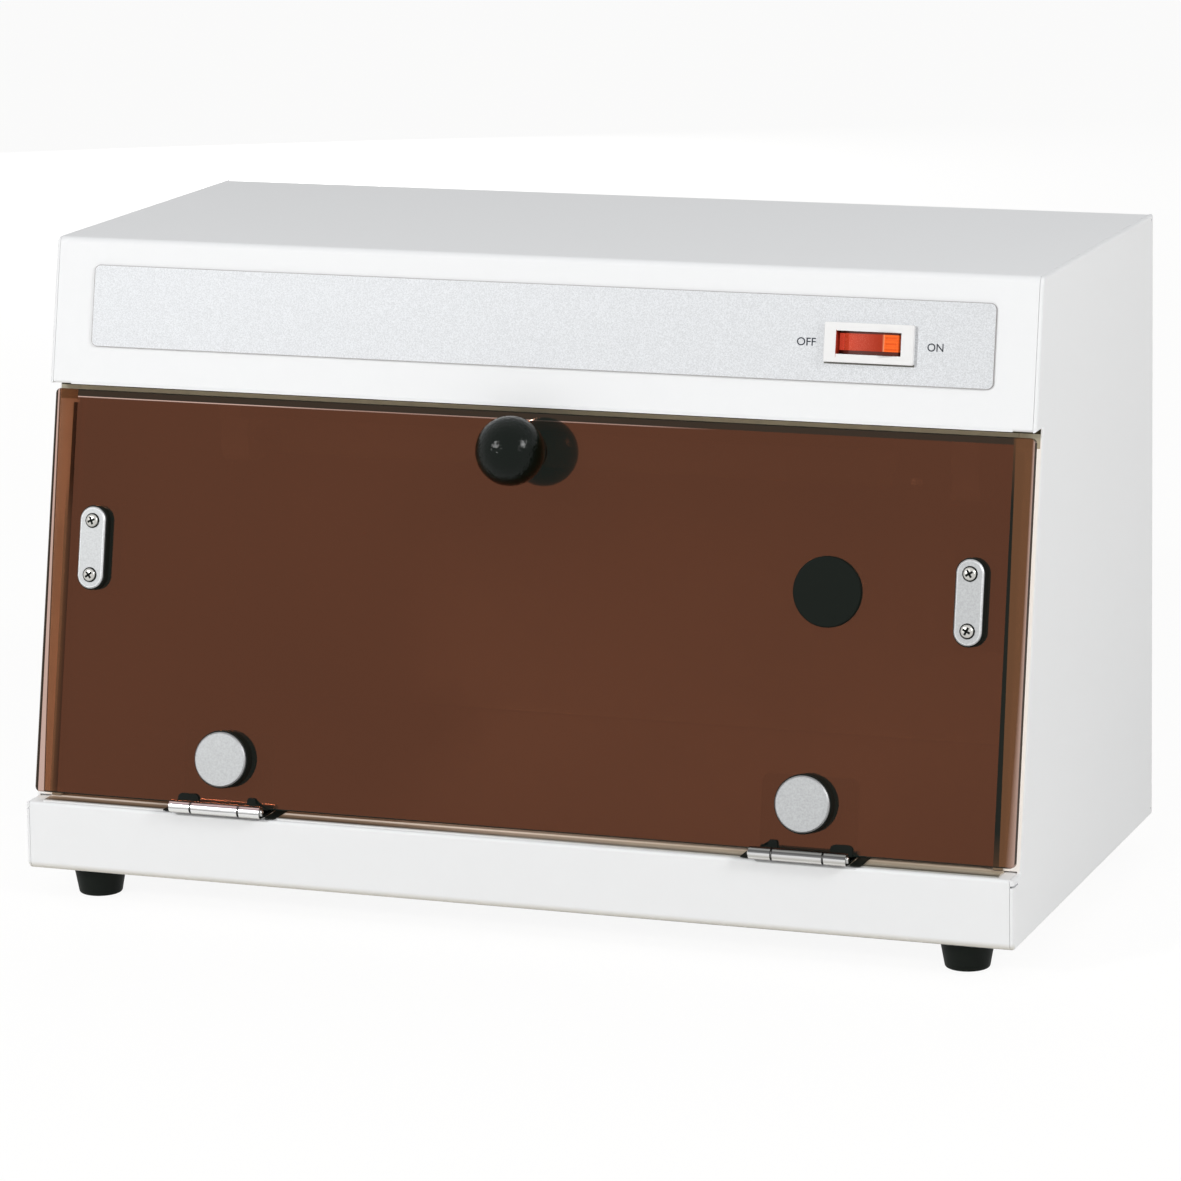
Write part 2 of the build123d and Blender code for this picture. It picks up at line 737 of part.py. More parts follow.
def lamp_tube():
    end = LAMP_LEN / 2 - LAMP_CAP_END
    return rod_x(LAMP_R, lamp_y, lamp_z, -end, end) - rod_x(LAMP_R - LAMP_WALL, lamp_y, lamp_z, -end, end)


def lamp_pins(radius, reach):
    x = LAMP_LEN / 2
    places = (lamp_y - LAMP_PIN_PITCH / 2, lamp_y + LAMP_PIN_PITCH / 2)
    return [rod_x(radius, y, lamp_z, x - SHEET, x + reach) for y in places]


def lamp_caps():
    x = LAMP_LEN / 2
    cap = rod_x(LAMP_R + LAMP_CAP_WALL, lamp_y, lamp_z, x - LAMP_CAP, x)
    cap -= rod_x(LAMP_R, lamp_y, lamp_z, x - 2 * LAMP_CAP, x - LAMP_CAP_END)
    for pin in lamp_pins(LAMP_PIN_R, LAMP_PIN_LEN):
        cap += pin
    return both(cap)


def lampholders():
    x = LAMP_LEN / 2 + HOLDER_GAP
    y0 = lamp_y - HOLDER_D / 2
    holder = block(x, x + HOLDER_W, y0, y0 + HOLDER_D, lamp_z - HOLDER_BELOW, ceiling_z)
    holder = fillet(holder.edges().filter_by(Axis.X).group_by(Axis.Z)[0], HOLDER_D / 3)
    for pin in lamp_pins(LAMP_PIN_R + LAMP_PIN_GAP, LAMP_PIN_LEN + HOLDER_GAP):
        holder -= pin
    return both(holder)


# Electrical parts above the chamber
def ballast():
    """Wound core on its mounting foot."""
    x0 = BALLAST_X - BALLAST_L / 2
    x1 = BALLAST_X + BALLAST_L / 2
    y0 = deck_row_y - BALLAST_W / 2
    y1 = deck_row_y + BALLAST_W / 2
    top = deck_z + BALLAST_FOOT_T
    foot_plate = block(x0 - BALLAST_EAR, x1 + BALLAST_EAR, y0, y1, deck_z, top)
    core = block(x0, x1, y0, y1, top, deck_z + BALLAST_H)
    return foot_plate + chamfer(core.edges().filter_by(Axis.X).group_by(Axis.Z)[-1], BALLAST_FOOT_T)


def starter_socket():
    well = STARTER_BASE_H / 2
    base = Pos(STARTER_X, deck_row_y, deck_z + well) * Box(STARTER_BASE, STARTER_BASE, STARTER_BASE_H)
    return base - rod(STARTER_R + HOLE_GAP, STARTER_X, deck_row_y, deck_z + well, deck_z + 2 * STARTER_BASE_H)


def starter():
    low = deck_z + STARTER_BASE_H / 2
    can = rod(STARTER_R, STARTER_X, deck_row_y, low, low + STARTER_H)
    return fillet(can.edges().sort_by(Axis.Z)[-1], STARTER_R / 4)


def terminal_block():
    """A row of screw terminals."""
    length = TERMINAL_POLE * TERMINAL_POLES
    x0 = TERMINAL_X - length / 2
    y0 = deck_row_y - TERMINAL_W / 2
    y1 = deck_row_y + TERMINAL_W / 2
    middle = deck_z + TERMINAL_H / 2
    strip = block(x0, x0 + length, y0, y1, deck_z, middle)
    for n in range(TERMINAL_POLES):
        x = x0 + (n + 0.5) * TERMINAL_POLE
        strip += rod_y(TERMINAL_POLE / 2 - SEAM, x, middle, y0, y1)
        strip += rod(TERMINAL_TUBE_R, x, deck_row_y, middle, deck_z + TERMINAL_H)
        strip -= rod_y(TERMINAL_TUBE_R - 2 * SEAM, x, middle, y0 - SHEET, y1 + SHEET)
    return strip


# Fascia
def fascia_plate():
    plate = extrude(RectangleRounded(WIDTH - 2 * PLATE_INSET, PLATE_H, PLATE_CORNER_R), amount=PLATE_T)
    plate = Pos(0, PLATE_UP, 0) * plate
    hole = Pos(switch_x, SWITCH_UP, 0) * Box(switch_w + 2 * SEAM, switch_h + 2 * SEAM, 3 * PLATE_T)
    return fascia_frame * (plate - hole)


def in_switch(shape):
    """From the switch's own frame: across, up the slope and out of the fascia."""
    return fascia_frame * (Pos(switch_x, SWITCH_UP, 0) * shape)


def switch_bezel():
    outline = RectangleRounded(OPENING_W + 2 * BEZEL_SIDE_BORDER, OPENING_H + 2 * BEZEL_BORDER, BEZEL_EDGE)
    frame = Pos(0, 0, PLATE_T) * extrude(outline, amount=BEZEL_T)
    frame = fillet(frame.faces().sort_by(Axis.Z)[-1].edges(), BEZEL_ROUND)
    return in_switch(frame - Box(OPENING_W, OPENING_H, 4 * BEZEL_T))


def switch_body():
    """Moulded housing with a well for the rocker, bearings in its walls and slots for the tabs."""
    body = block(-switch_w / 2, switch_w / 2, -switch_h / 2, switch_h / 2, PLATE_T - SWITCH_BODY_D, PLATE_T)
    body -= Pos(0, 0, PLATE_T) * Box(OPENING_W, OPENING_H, 2 * SWITCH_CAVITY)
    reach = OPENING_H / 2 - ROCKER_GAP + TRUNNION_LEN + SEAM
    body -= rod_y(TRUNNION_R + TRUNNION_GAP, 0, -ROCKER_PIVOT_IN, -reach, reach)
    return in_switch(body - group(switch_tab_bars()))


def switch_tab_bars():
    low = PLATE_T - SWITCH_BODY_D - SWITCH_TAB_LEN
    high = low + SWITCH_TAB_LEN + SWITCH_TAB_IN
    tab = block(-SWITCH_TAB_T / 2, SWITCH_TAB_T / 2, -SWITCH_TAB_W / 2, SWITCH_TAB_W / 2, low, high)
    return [Pos(x, 0, 0) * tab for x in (-SWITCH_TAB_PITCH, 0, SWITCH_TAB_PITCH)]


def switch_rocker():
    """Rocker with two ridges, a ribbed facet at each end and stub axles, tilted to its off position."""
    end_r = OPENING_W / 2 - ROCKER_GAP
    height = OPENING_H - 2 * ROCKER_GAP
    end_x = math.sqrt(end_r ** 2 - ROCKER_END_OUT ** 2)
    shoulder_x = math.sqrt(end_r ** 2 - ROCKER_SHOULDER_IN ** 2)
    right = [
        (ROCKER_RIDGE_X, ROCKER_RIDGE_OUT),
        (end_x, ROCKER_END_OUT),
        (shoulder_x, -ROCKER_SHOULDER_IN),
        (ROCKER_KEEL_X, -ROCKER_KEEL_IN),
    ]
    left = [(-x, out) for x, out in right[::-1]]
    sides = Polyline(*right, *left)
    middle = ThreePointArc(left[-1], (0, ROCKER_RIDGE_OUT - ROCKER_SAG), right[0])
    body = Rot(90, 0, 0) * extrude(make_face(Curve() + [sides, middle]), amount=height / 2, both=True)
    facet_run = end_x - ROCKER_RIDGE_X
    facet_tilt = math.degrees(math.atan2(ROCKER_RIDGE_OUT - ROCKER_END_OUT, facet_run))
    facet_x = (end_x + ROCKER_RIDGE_X) / 2
    facet_out = (ROCKER_RIDGE_OUT + ROCKER_END_OUT) / 2
    rib_pitch = height / (ROCKER_RIBS + 1)
    for n in range(ROCKER_RIBS):
        y = (n - (ROCKER_RIBS - 1) / 2) * rib_pitch
        groove = Box(facet_run - ROCKER_RIB_W, ROCKER_RIB_W / 2, 2 * ROCKER_RIB_DEEP)
        body -= Pos(facet_x, y, facet_out) * Rot(0, facet_tilt, 0) * groove
        body -= Pos(-facet_x, y, facet_out) * Rot(0, -facet_tilt, 0) * groove
    axle = height / 2 + TRUNNION_LEN
    body += rod_y(TRUNNION_R, 0, 0, -axle, axle)
    return in_switch(Pos(0, 0, -ROCKER_PIVOT_IN) * Rot(0, -ROCKER_TURNS / 2, 0) * body)


# Door
def bolt_holes(shape, radius, places):
    for x, up in places:
        shape -= rod(radius, x, up, -DOOR_T - CLAMP_R, CLAMP_R)
    return shape


def catch_places(side):
    return [(side * catch_x, CATCH_UP + step) for step in (-CATCH_PITCH / 2, CATCH_PITCH / 2)]


def door_panel():
    outline = RectangleRounded(WIDTH - 2 * DOOR_SIDE_GAP, DOOR_H, DOOR_CORNER_R)
    sheet = Pos(0, DOOR_H / 2, -DOOR_T) * extrude(outline, amount=DOOR_T)
    rims = sheet.faces().sort_by(Axis.Z)
    sheet = chamfer(rims[0].edges() + rims[-1].edges(), DOOR_CHAMFER)
    sheet = bolt_holes(sheet, CLAMP_STUD_R + HOLE_GAP, [(-hinge_x, CLAMP_UP), (hinge_x, CLAMP_UP)])
    sheet = bolt_holes(sheet, CATCH_SCREW_R + HOLE_GAP, catch_places(-1) + catch_places(1))
    sheet = bolt_holes(sheet, KNOB_SCREW_R + HOLE_GAP, [(0, knob_up)])
    return door_frame * bolt_holes(sheet, PLUG_SHANK_R + PLUG_HOLE_GAP, [(plug_x, PLUG_UP)])


def door_knob():
    """Ball knob, turned with its neck and foot."""
    neck_out = KNOB_OUT - math.sqrt(KNOB_R ** 2 - KNOB_NECK_R ** 2)
    knob = rod(KNOB_FOOT_R, 0, knob_up, 0, KNOB_FOOT_T)
    knob = fillet(knob.edges().sort_by(Axis.Z)[-1], KNOB_FOOT_T / 2)
    knob += rod(KNOB_NECK_R, 0, knob_up, 0, neck_out + SHEET)
    knob += Pos(0, knob_up, KNOB_OUT) * Sphere(KNOB_R)
    bore = KNOB_SCREW_IN - DOOR_T - KNOB_WASHER_T
    return door_frame * (knob - rod(KNOB_SCREW_R + THREAD_GAP, 0, knob_up, -SHEET, bore))


def knob_screw():
    seat = -DOOR_T - KNOB_WASHER_T
    screw = Rot(180, 0, 0) * pan_screw(KNOB_SCREW_R, KNOB_HEAD_R, KNOB_HEAD_H, KNOB_SCREW_IN)
    return door_frame * (Pos(0, knob_up, seat) * screw)


def knob_washer():
    washer = rod(KNOB_WASHER_R, 0, knob_up, -DOOR_T - KNOB_WASHER_T, -DOOR_T)
    return door_frame * bolt_holes(washer, KNOB_SCREW_R + HOLE_GAP, [(0, knob_up)])


def port_plug():
    """Hollow snap-in plug with a domed head."""
    head = rod(PLUG_HEAD_R, 0, 0, 0, PLUG_HEAD_T)
    head = fillet(head.edges().sort_by(Axis.Z)[-1], PLUG_HEAD_T * HEAD_DOME)
    rim_top = -DOOR_T - PLUG_HOLE_GAP
    plug = head + rod(PLUG_SHANK_R, 0, 0, rim_top, 0) + rod(PLUG_RIM_R, 0, 0, rim_top - PLUG_RIM_T, rim_top)
    plug -= rod(PLUG_SHANK_R - PLUG_WALL, 0, 0, -DOOR_T - 2 * PLUG_RIM_T, -PLUG_WALL / 2)
    return door_frame * (Pos(plug_x, PLUG_UP, 0) * plug)


# Catches
def catch_slab(out0, out1):
    """A strip with round ends, bolted through the door."""
    outline = SlotOverall(CATCH_H, CATCH_W, rotation=90)
    return Pos(catch_x, CATCH_UP, out0) * extrude(outline, amount=out1 - out0)


def catch_pad():
    pad = catch_slab(0, CATCH_PAD_T)
    return door_frame * bolt_holes(pad, CATCH_SCREW_R + HOLE_GAP, catch_places(1))


def catch_plate():
    plate = catch_slab(CATCH_PAD_T, CATCH_PAD_T + CATCH_PLATE_T)
    plate = chamfer(plate.faces().sort_by(Axis.Z)[-1].edges(), CATCH_EDGE)
    return door_frame * bolt_holes(plate, CATCH_SCREW_R + HOLE_GAP, catch_places(1))


def catch_strike():
    strike = catch_slab(-DOOR_T - CATCH_STRIKE_T, -DOOR_T)
    return door_frame * bolt_holes(strike, CATCH_SCREW_R + THREAD_GAP, catch_places(1))


def catch_screws():
    seat = CATCH_PAD_T + CATCH_PLATE_T
    screw = pan_screw(CATCH_SCREW_R, CATCH_HEAD_R, CATCH_HEAD_H, seat + DOOR_T + CATCH_STRIKE_T - SEAM)
    return both(group([door_frame * (Pos(x, up, seat) * screw) for x, up in catch_places(1)]))


def pole_bars():
    front = -DOOR_T - CATCH_STRIKE_T - CATCH_GAP
    back = front - MAGNET_POLE_PROUD - MAGNET_POLE_IN
    low = CATCH_UP - MAGNET_POLE_H / 2
    bar = block(-MAGNET_POLE_T / 2, MAGNET_POLE_T / 2, low, low + MAGNET_POLE_H, back, front)
    return [Pos(catch_x + step, 0, 0) * bar for step in (-MAGNET_POLE_PITCH / 2, MAGNET_POLE_PITCH / 2)]


def catch_magnet():
    """Magnet housing on the chamber's side, with slots for its two poles."""
    front = -DOOR_T - CATCH_STRIKE_T - CATCH_GAP - MAGNET_POLE_PROUD
    back = front - MAGNET_DEPTH
    low = CATCH_UP - MAGNET_H / 2
    high = CATCH_UP + MAGNET_H / 2
    housing = block(catch_x - MAGNET_W / 2, catch_x + MAGNET_W / 2, low, high, back, front)
    housing = chamfer(housing.faces().sort_by(Axis.Z)[-1].edges(), CATCH_EDGE)
    side_x = liner_half + SIDE_LINER_GAP
    housing += block(catch_x, side_x, low, high, back, front - MAGNET_FOOT_IN)
    return door_frame * (housing - group(pole_bars()))


# Hinges
def hinge_screw_holes(low):
    """Clearance holes of the right hinge's screws, up to its leaf."""
    places = (hinge_x - HINGE_SCREW_X, hinge_x + HINGE_SCREW_X)
    return group([rod(HINGE_SCREW_R + SCREW_GAP, x, front_y + HINGE_SCREW_Y, low, axis_z) for x in places])


def leaf_slope(out):
    """A point of the plane parallel to the door at some distance out, at the height of the hinge pad."""
    run = (pad_z - door_origin_z - out * math.sin(lean)) / math.cos(lean)
    return door_point(run, out)


def hinge_knuckle(width, x):
    return rod_x(HINGE_R, axis_y, axis_z, x - width / 2, x + width / 2)


def hinge_bore():
    return rod_x(HINGE_PIN_R + HINGE_PIN_GAP, axis_y, axis_z, hinge_x - hinge_len, hinge_x + hinge_len)


def outer_places():
    step = (HINGE_MIDDLE + HINGE_OUTER) / 2 + HINGE_GAP
    return (hinge_x - step, hinge_x + step)


def hinge_base_leaf():
    """Middle knuckle with a leaf that runs back under the door."""
    x0 = hinge_x - HINGE_MIDDLE / 2
    x1 = hinge_x + HINGE_MIDDLE / 2
    leaf = hinge_knuckle(HINGE_MIDDLE, hinge_x)
    leaf += block(x0, x1, axis_y, front_y + HINGE_LEAF_DEPTH, pad_z, pad_z + HINGE_LEAF_T)
    return leaf - hinge_screw_holes(floor_z) - hinge_bore()


def hinge_door_leaf():
    """Outer knuckles with arms under the door's edge, cranked up into a plate behind it."""
    back = -DOOR_T - HINGE_GASKET_T - HINGE_LEAF_T
    path = [
        (axis_y, pad_z),
        leaf_slope(back),
        door_point(HINGE_TAB_FROM + HINGE_TAB_CORNER_R, back),
    ]
    leaf = Part()
    half = HINGE_OUTER / 2
    for x in outer_places():
        leaf += hinge_knuckle(HINGE_OUTER, x)
        leaf += folded_sheet(path, HINGE_LEAF_T, x - half, x + half, [(1, HINGE_BEND_R)])
    x0 = hinge_x - hinge_len / 2
    tab = block(x0, x0 + hinge_len, HINGE_TAB_FROM, HINGE_TAB_UP, back, back + HINGE_LEAF_T)
    tab = fillet(tab.edges().filter_by(Axis.Z).group_by(Axis.Y)[-1], HINGE_TAB_CORNER_R)
    tab -= rod(CLAMP_STUD_R + HOLE_GAP, hinge_x, CLAMP_UP, back - SHEET, 0)
    return leaf + door_frame * tab - hinge_bore()


def hinge_gasket():
    """Rubber sheet between leaf and door, with two tongues that wrap the door's lower edge."""
    back = -DOOR_T - HINGE_GASKET_T
    high = HINGE_TAB_UP + HINGE_GASKET_T
    pad = block(hinge_x - hinge_len / 2, hinge_x + hinge_len / 2, 0, high, back, -DOOR_T)
    pad = fillet(pad.edges().filter_by(Axis.Z).group_by(Axis.Y)[-1], HINGE_TAB_CORNER_R)
    pad = bolt_holes(pad, CLAMP_STUD_R + HOLE_GAP, [(hinge_x, CLAMP_UP)])
    for x in outer_places():
        x0 = x - HINGE_LOBE_W / 2
        x1 = x + HINGE_LOBE_W / 2
        pad += block(x0, x1, -HINGE_GASKET_FOLD, 0, HINGE_GASKET_WRAP - DOOR_T, HINGE_GASKET_T)
        tongue = block(x0, x1, -HINGE_GASKET_FOLD, HINGE_LOBE_UP, 0, HINGE_GASKET_T)
        pad += fillet(tongue.edges().filter_by(Axis.Z).group_by(Axis.Y)[-1], HINGE_LOBE_R)
    return door_frame * pad


def hinge_pin():
    half = hinge_len / 2 + HINGE_PIN_END
    pin = rod_x(HINGE_PIN_R, axis_y, axis_z, hinge_x - half, hinge_x + half)
    return fillet(pin.edges().filter_by(GeomType.CIRCLE), HINGE_PIN_R * HEAD_DOME)


def hinge_pad():
    """Thin sheet under the base leaf, slotted for the door leaf's arms, with an ear at each end."""
    half = hinge_len / 2 + HINGE_PAD_EXTRA
    y0 = front_y + HINGE_PAD_FRONT
    pad = block(hinge_x - half, hinge_x + half, y0, front_y + HINGE_PAD_BACK, floor_z, pad_z)
    pad -= block(hinge_x - half, hinge_x + half, y0, front_y + LINER_LIP_Y, ledge_z, floor_z)
    slot_half = HINGE_OUTER / 2 + HINGE_GAP
    slot_back = front_y + HINGE_PAD_SLOT_BACK
    for x in outer_places():
        pad -= block(x - slot_half, x + slot_half, y0 - SHEET, slot_back, floor_z - SHEET, pad_z + SHEET)
    return pad - hinge_screw_holes(ledge_z)


def hinge_screws():
    screw = pan_screw(HINGE_SCREW_R, HINGE_SCREW_HEAD_R, HINGE_SCREW_HEAD_H, HINGE_SCREW_LEN)
    seat = pad_z + HINGE_LEAF_T
    steps = (-HINGE_SCREW_X, HINGE_SCREW_X)
    return both(group([Pos(hinge_x + step, front_y + HINGE_SCREW_Y, seat) * screw for step in steps]))


def clamp_disc():
    """Disc-headed bolt that clamps door and hinge leaf together."""
    nut_seat = -DOOR_T - HINGE_GASKET_T - HINGE_LEAF_T
    disc = rod(CLAMP_R, hinge_x, CLAMP_UP, CLAMP_WASHER_T, CLAMP_WASHER_T + CLAMP_DISC_T)
    disc = chamfer(disc.edges().sort_by(Axis.Z)[-1], CLAMP_DISC_CHAMFER)
    end = nut_seat - CLAMP_NUT_T - CLAMP_STUD_PROUD
    return door_frame * (disc + rod(CLAMP_STUD_R, hinge_x, CLAMP_UP, end, CLAMP_WASHER_T))


def clamp_washer():
    washer = rod(CLAMP_WASHER_R, hinge_x, CLAMP_UP, 0, CLAMP_WASHER_T)
    return door_frame * bolt_holes(washer, CLAMP_STUD_R + HOLE_GAP, [(hinge_x, CLAMP_UP)])


def clamp_nut():
    nut = Rot(180, 0, 0) * hex_nut(CLAMP_NUT_AF, CLAMP_NUT_T, CLAMP_STUD_R + THREAD_GAP)
    return door_frame * (Pos(hinge_x, CLAMP_UP, -DOOR_T - HINGE_GASKET_T - HINGE_LEAF_T) * nut)


# Door interlock
def interlock_body():
    """Switch box on a bracket from the chamber's ceiling, with a bore for its plunger."""
    front = -DOOR_T - INTERLOCK_FRONT
    x0 = interlock_x - INTERLOCK_L / 2
    x1 = interlock_x + INTERLOCK_L / 2
    low = interlock_up - INTERLOCK_W / 2
    case = block(x0, x1, low, low + INTERLOCK_W, front - INTERLOCK_D, front)
    bore = PLUNGER_R + PLUNGER_BORE_GAP
    case -= rod(bore, interlock_x, interlock_up, front - PLUNGER_IN - PLUNGER_STROKE, front + SHEET)
    top = door_point(interlock_up + INTERLOCK_W / 2, front - INTERLOCK_D / 2)
    rise = (ceiling_z - top[1]) / math.cos(lean)
    elbow = door_point(interlock_up + INTERLOCK_W / 2 + rise, front - INTERLOCK_D / 2)
    path = [top, (elbow[0], ceiling_z), (elbow[0] + INTERLOCK_FOOT, ceiling_z)]
    return door_frame * case + folded_sheet(path, -INTERLOCK_BRACKET_T, x0, x1, [])


def interlock_plunger():
    front = -DOOR_T - PLUNGER_GAP
    pin = rod(PLUNGER_R, interlock_x, interlock_up, -DOOR_T - INTERLOCK_FRONT - PLUNGER_IN, front)
    return door_frame * fillet(pin.edges().sort_by(Axis.Z)[-1], PLUNGER_R / 2)


# Mains inlet
def inlet_profile(width, height, corner):
    face = Rectangle(width, height)
    return chamfer(face.vertices().group_by(Axis.Y)[-1], corner)


def inlet_shell():
    """Appliance inlet: flange, body and a well with two cut corners."""
    rim = RectangleRounded(inlet_body_w + 2 * INLET_RIM, inlet_body_h + 2 * INLET_RIM, INLET_CORNER / 2)
    flange = Pos(0, 0, -SEAM) * extrude(rim, amount=INLET_PROUD + SEAM)
    body = Pos(0, 0, -SEAM) * extrude(Rectangle(inlet_body_w, inlet_body_h), amount=-INLET_BODY_D)
    mouth = inlet_profile(INLET_CAVITY_W, INLET_CAVITY_H, INLET_CORNER)
    well = Pos(0, 0, INLET_PROUD) * extrude(mouth, amount=-INLET_CAVITY_D)
    return inlet_place * (flange + body - well - group(inlet_pin_bars()))


def inlet_pin_bars():
    top = INLET_PROUD - INLET_CAVITY_D + INLET_PIN_LEN
    low = SEAM - INLET_BODY_D - INLET_PIN_LEN / 2
    bars = []
    for n in (-1, 0, 1):
        x = n * INLET_PIN_PITCH
        y = INLET_PIN_RISE / 2 if n == 0 else -INLET_PIN_RISE / 2
        bars.append(Pos(x, y, (low + top) / 2) * Box(INLET_PIN_W, INLET_PIN_H, top - low))
    return bars


def inlet_pins():
    return inlet_place * group(inlet_pin_bars())


os.makedirs("parts", exist_ok=True)
save(top_cover(), "top_cover")
save_pair(side_panel(), "side_panel")
save(base_pan(), "base_pan")
save(back_panel(), "back_panel")
save(back_screws(), "back_screws")
for foot_x, side_name in ((-foot_place_x, "left"), (foot_place_x, "right")):
    for foot_y, end_name in zip(foot_places_y, ("front", "rear")):
        save(Pos(foot_x, foot_y, 0) * foot(), "foot_" + end_name + "_" + side_name)
save(foot_screws(), "foot_screws")
save(foot_nuts(), "foot_nuts")
save(chamber_liner(), "chamber_liner")
save_pair(chamber_side(), "chamber_side")
save_pair(door_seal(), "door_seal")
save(reflector(), "reflector")
save(lamp_tube(), "lamp_tube")
save(lamp_caps(), "lamp_caps")
save(lampholders(), "lampholders")
save(ballast(), "ballast")
save(starter_socket(), "starter_socket")
save(starter(), "starter")
save(terminal_block(), "terminal_block")
save(fascia_plate(), "fascia_plate")
save(switch_bezel(), "switch_bezel")
save(switch_body(), "switch_body")
save(in_switch(group(switch_tab_bars())), "switch_tabs")
save(switch_rocker(), "switch_rocker")
save(door_panel(), "door_panel")
save(door_knob(), "door_knob")
save(knob_screw(), "knob_screw")
save(knob_washer(), "knob_washer")
save(port_plug(), "port_plug")
save(both(catch_pad()), "catch_pads")
save_pair(catch_plate(), "catch_plate")
save(both(catch_strike()), "catch_strikes")
save(catch_screws(), "catch_screws")
save_pair(catch_magnet(), "catch_magnet")
save(both(door_frame * group(pole_bars())), "catch_poles")
save_pair(hinge_base_leaf(), "hinge_base_leaf")
save_pair(hinge_door_leaf(), "hinge_door_leaf")
save_pair(hinge_gasket(), "hinge_gasket")
save(both(hinge_pin()), "hinge_pins")
save(both(hinge_pad()), "hinge_pads")
save(hinge_screws(), "hinge_screws")
save_pair(clamp_disc(), "clamp_disc")
save(both(clamp_washer()), "clamp_washers")
save(both(clamp_nut()), "clamp_nuts")
save(interlock_body(), "interlock_body")
save(interlock_plunger(), "interlock_plunger")
save(inlet_shell(), "inlet_shell")
save(inlet_pins(), "inlet_pins")
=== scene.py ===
# %% [markdown]
# # A bench sterilizing cabinet
# The object is a white folded-steel cabinet with a bronze tinted door that drops open on two hinges, a ball
# knob, two catch plates and a sloping panel with a rocker switch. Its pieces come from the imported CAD
# model, which already has the right size. This lesson dresses them: a camera and studio first, then one
# finish at a time, and at last the pieces that are too fine for the CAD model, such as screw heads,
# lettering and the lamp's filaments.

# %% Load the frame
import math
import bpy
from mathutils import Matrix, Vector


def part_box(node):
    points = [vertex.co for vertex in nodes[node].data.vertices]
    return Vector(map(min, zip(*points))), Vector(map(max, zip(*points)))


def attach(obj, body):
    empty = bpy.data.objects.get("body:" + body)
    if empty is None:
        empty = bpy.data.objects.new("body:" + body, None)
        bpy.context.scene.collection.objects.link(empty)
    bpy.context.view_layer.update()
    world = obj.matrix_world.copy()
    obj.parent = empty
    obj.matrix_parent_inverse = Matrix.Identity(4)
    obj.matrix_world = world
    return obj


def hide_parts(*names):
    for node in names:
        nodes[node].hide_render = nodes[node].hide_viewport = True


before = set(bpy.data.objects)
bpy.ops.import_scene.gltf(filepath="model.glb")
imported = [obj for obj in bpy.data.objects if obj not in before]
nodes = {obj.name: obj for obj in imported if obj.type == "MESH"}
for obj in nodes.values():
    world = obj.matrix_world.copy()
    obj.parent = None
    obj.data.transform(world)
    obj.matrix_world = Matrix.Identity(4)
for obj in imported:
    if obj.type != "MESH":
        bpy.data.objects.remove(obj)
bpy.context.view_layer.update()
MM = 0.001
LEAN = math.radians(11)
UP_SLOPE = Vector((0, math.sin(LEAN), math.cos(LEAN)))
OUT = Vector((0, -math.cos(LEAN), math.sin(LEAN)))


def middle(name):
    low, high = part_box(name)
    return (Vector(low) + Vector(high)) / 2


# %% [markdown]
# ## Camera
# The photograph was taken a little from the right and from above with a long lens, and cropped off centre.
# The numbers below come from fitting the corners of the cabinet. A tilted camera could frame the cabinet as
# well, but its uprights would slant in another way, so a lens shift stands for the crop.

# %% Camera
FRAME_PX = 1181
FOCAL_PX = 5363.05
SHIFT_PX = -295.28
SENSOR = 36.0
CAMERA_AT = Vector((704.17, -1916.79, 560.36)) * MM
YAW, PITCH, ROLL = (math.radians(a) for a in (20.150, 9.219, -0.864))

ahead = Vector((-math.sin(YAW) * math.cos(PITCH), math.cos(YAW) * math.cos(PITCH), -math.sin(PITCH)))
level = Vector((math.cos(YAW), math.sin(YAW), 0))
above = level.cross(ahead)
right = level * math.cos(ROLL) + above * math.sin(ROLL)
up = above * math.cos(ROLL) - level * math.sin(ROLL)
camera = bpy.data.objects.new("camera", bpy.data.cameras.new("camera"))
bpy.context.scene.collection.objects.link(camera)
camera.matrix_world = Matrix.Translation(CAMERA_AT) @ Matrix((right, up, -ahead)).transposed().to_4x4()
camera.data.sensor_width = SENSOR
camera.data.lens = FOCAL_PX / FRAME_PX * SENSOR
camera.data.shift_y = SHIFT_PX / FRAME_PX
camera.data.clip_start = 0.05
bpy.context.scene.camera = camera
print("lens", round(camera.data.lens, 1), "mm")

# %% [markdown]
# ## A short way to write node graphs
# A material is a graph of nodes, and its maths gets long when every node is made by hand. One small class
# wraps a node's output, so that `mask * 0.5 + 1` adds the Math nodes by itself. A mask is a wire that is 1
# inside a zone and 0 outside, so two masks are joined by a product, or by their maximum. One method,
# `node`, makes every other node, and it serves shader trees and geometry trees alike.

# %% Wires
class Wire:
    """An output socket that can be added, multiplied and compared like a number."""

    def __init__(self, graph, socket):
        self.graph = graph
        self.socket = socket

    def maths(self, operation, *others):
        return self.graph.node("ShaderNodeMath", {"operation": operation}, [self, *others])

    def __add__(self, other):
        return self.maths("ADD", other)

    def __radd__(self, other):
        return self.maths("ADD", other)

    def __sub__(self, other):
        return self.maths("SUBTRACT", other)

    def __rsub__(self, other):
        return self.graph.node("ShaderNodeMath", {"operation": "SUBTRACT"}, [other, self])

    def __mul__(self, other):
        return self.maths("MULTIPLY", other)

    def __rmul__(self, other):
        return self.maths("MULTIPLY", other)

    def __truediv__(self, other):
        return self.maths("DIVIDE", other)

    def __pow__(self, other):
        return self.maths("POWER", other)

    def __abs__(self):
        return self.maths("ABSOLUTE")

    def __gt__(self, other):
        return self.maths("GREATER_THAN", other)

    def __lt__(self, other):
        return self.maths("LESS_THAN", other)

    def or_mask(self, other):
        """A mask that is on where this one or the other is."""
        return self.maths("MAXIMUM", other)

    def above_zero(self):
        return self.maths("MAXIMUM", 0.0)

    def between(self, low, high):
        return (self > low) * (self < high)


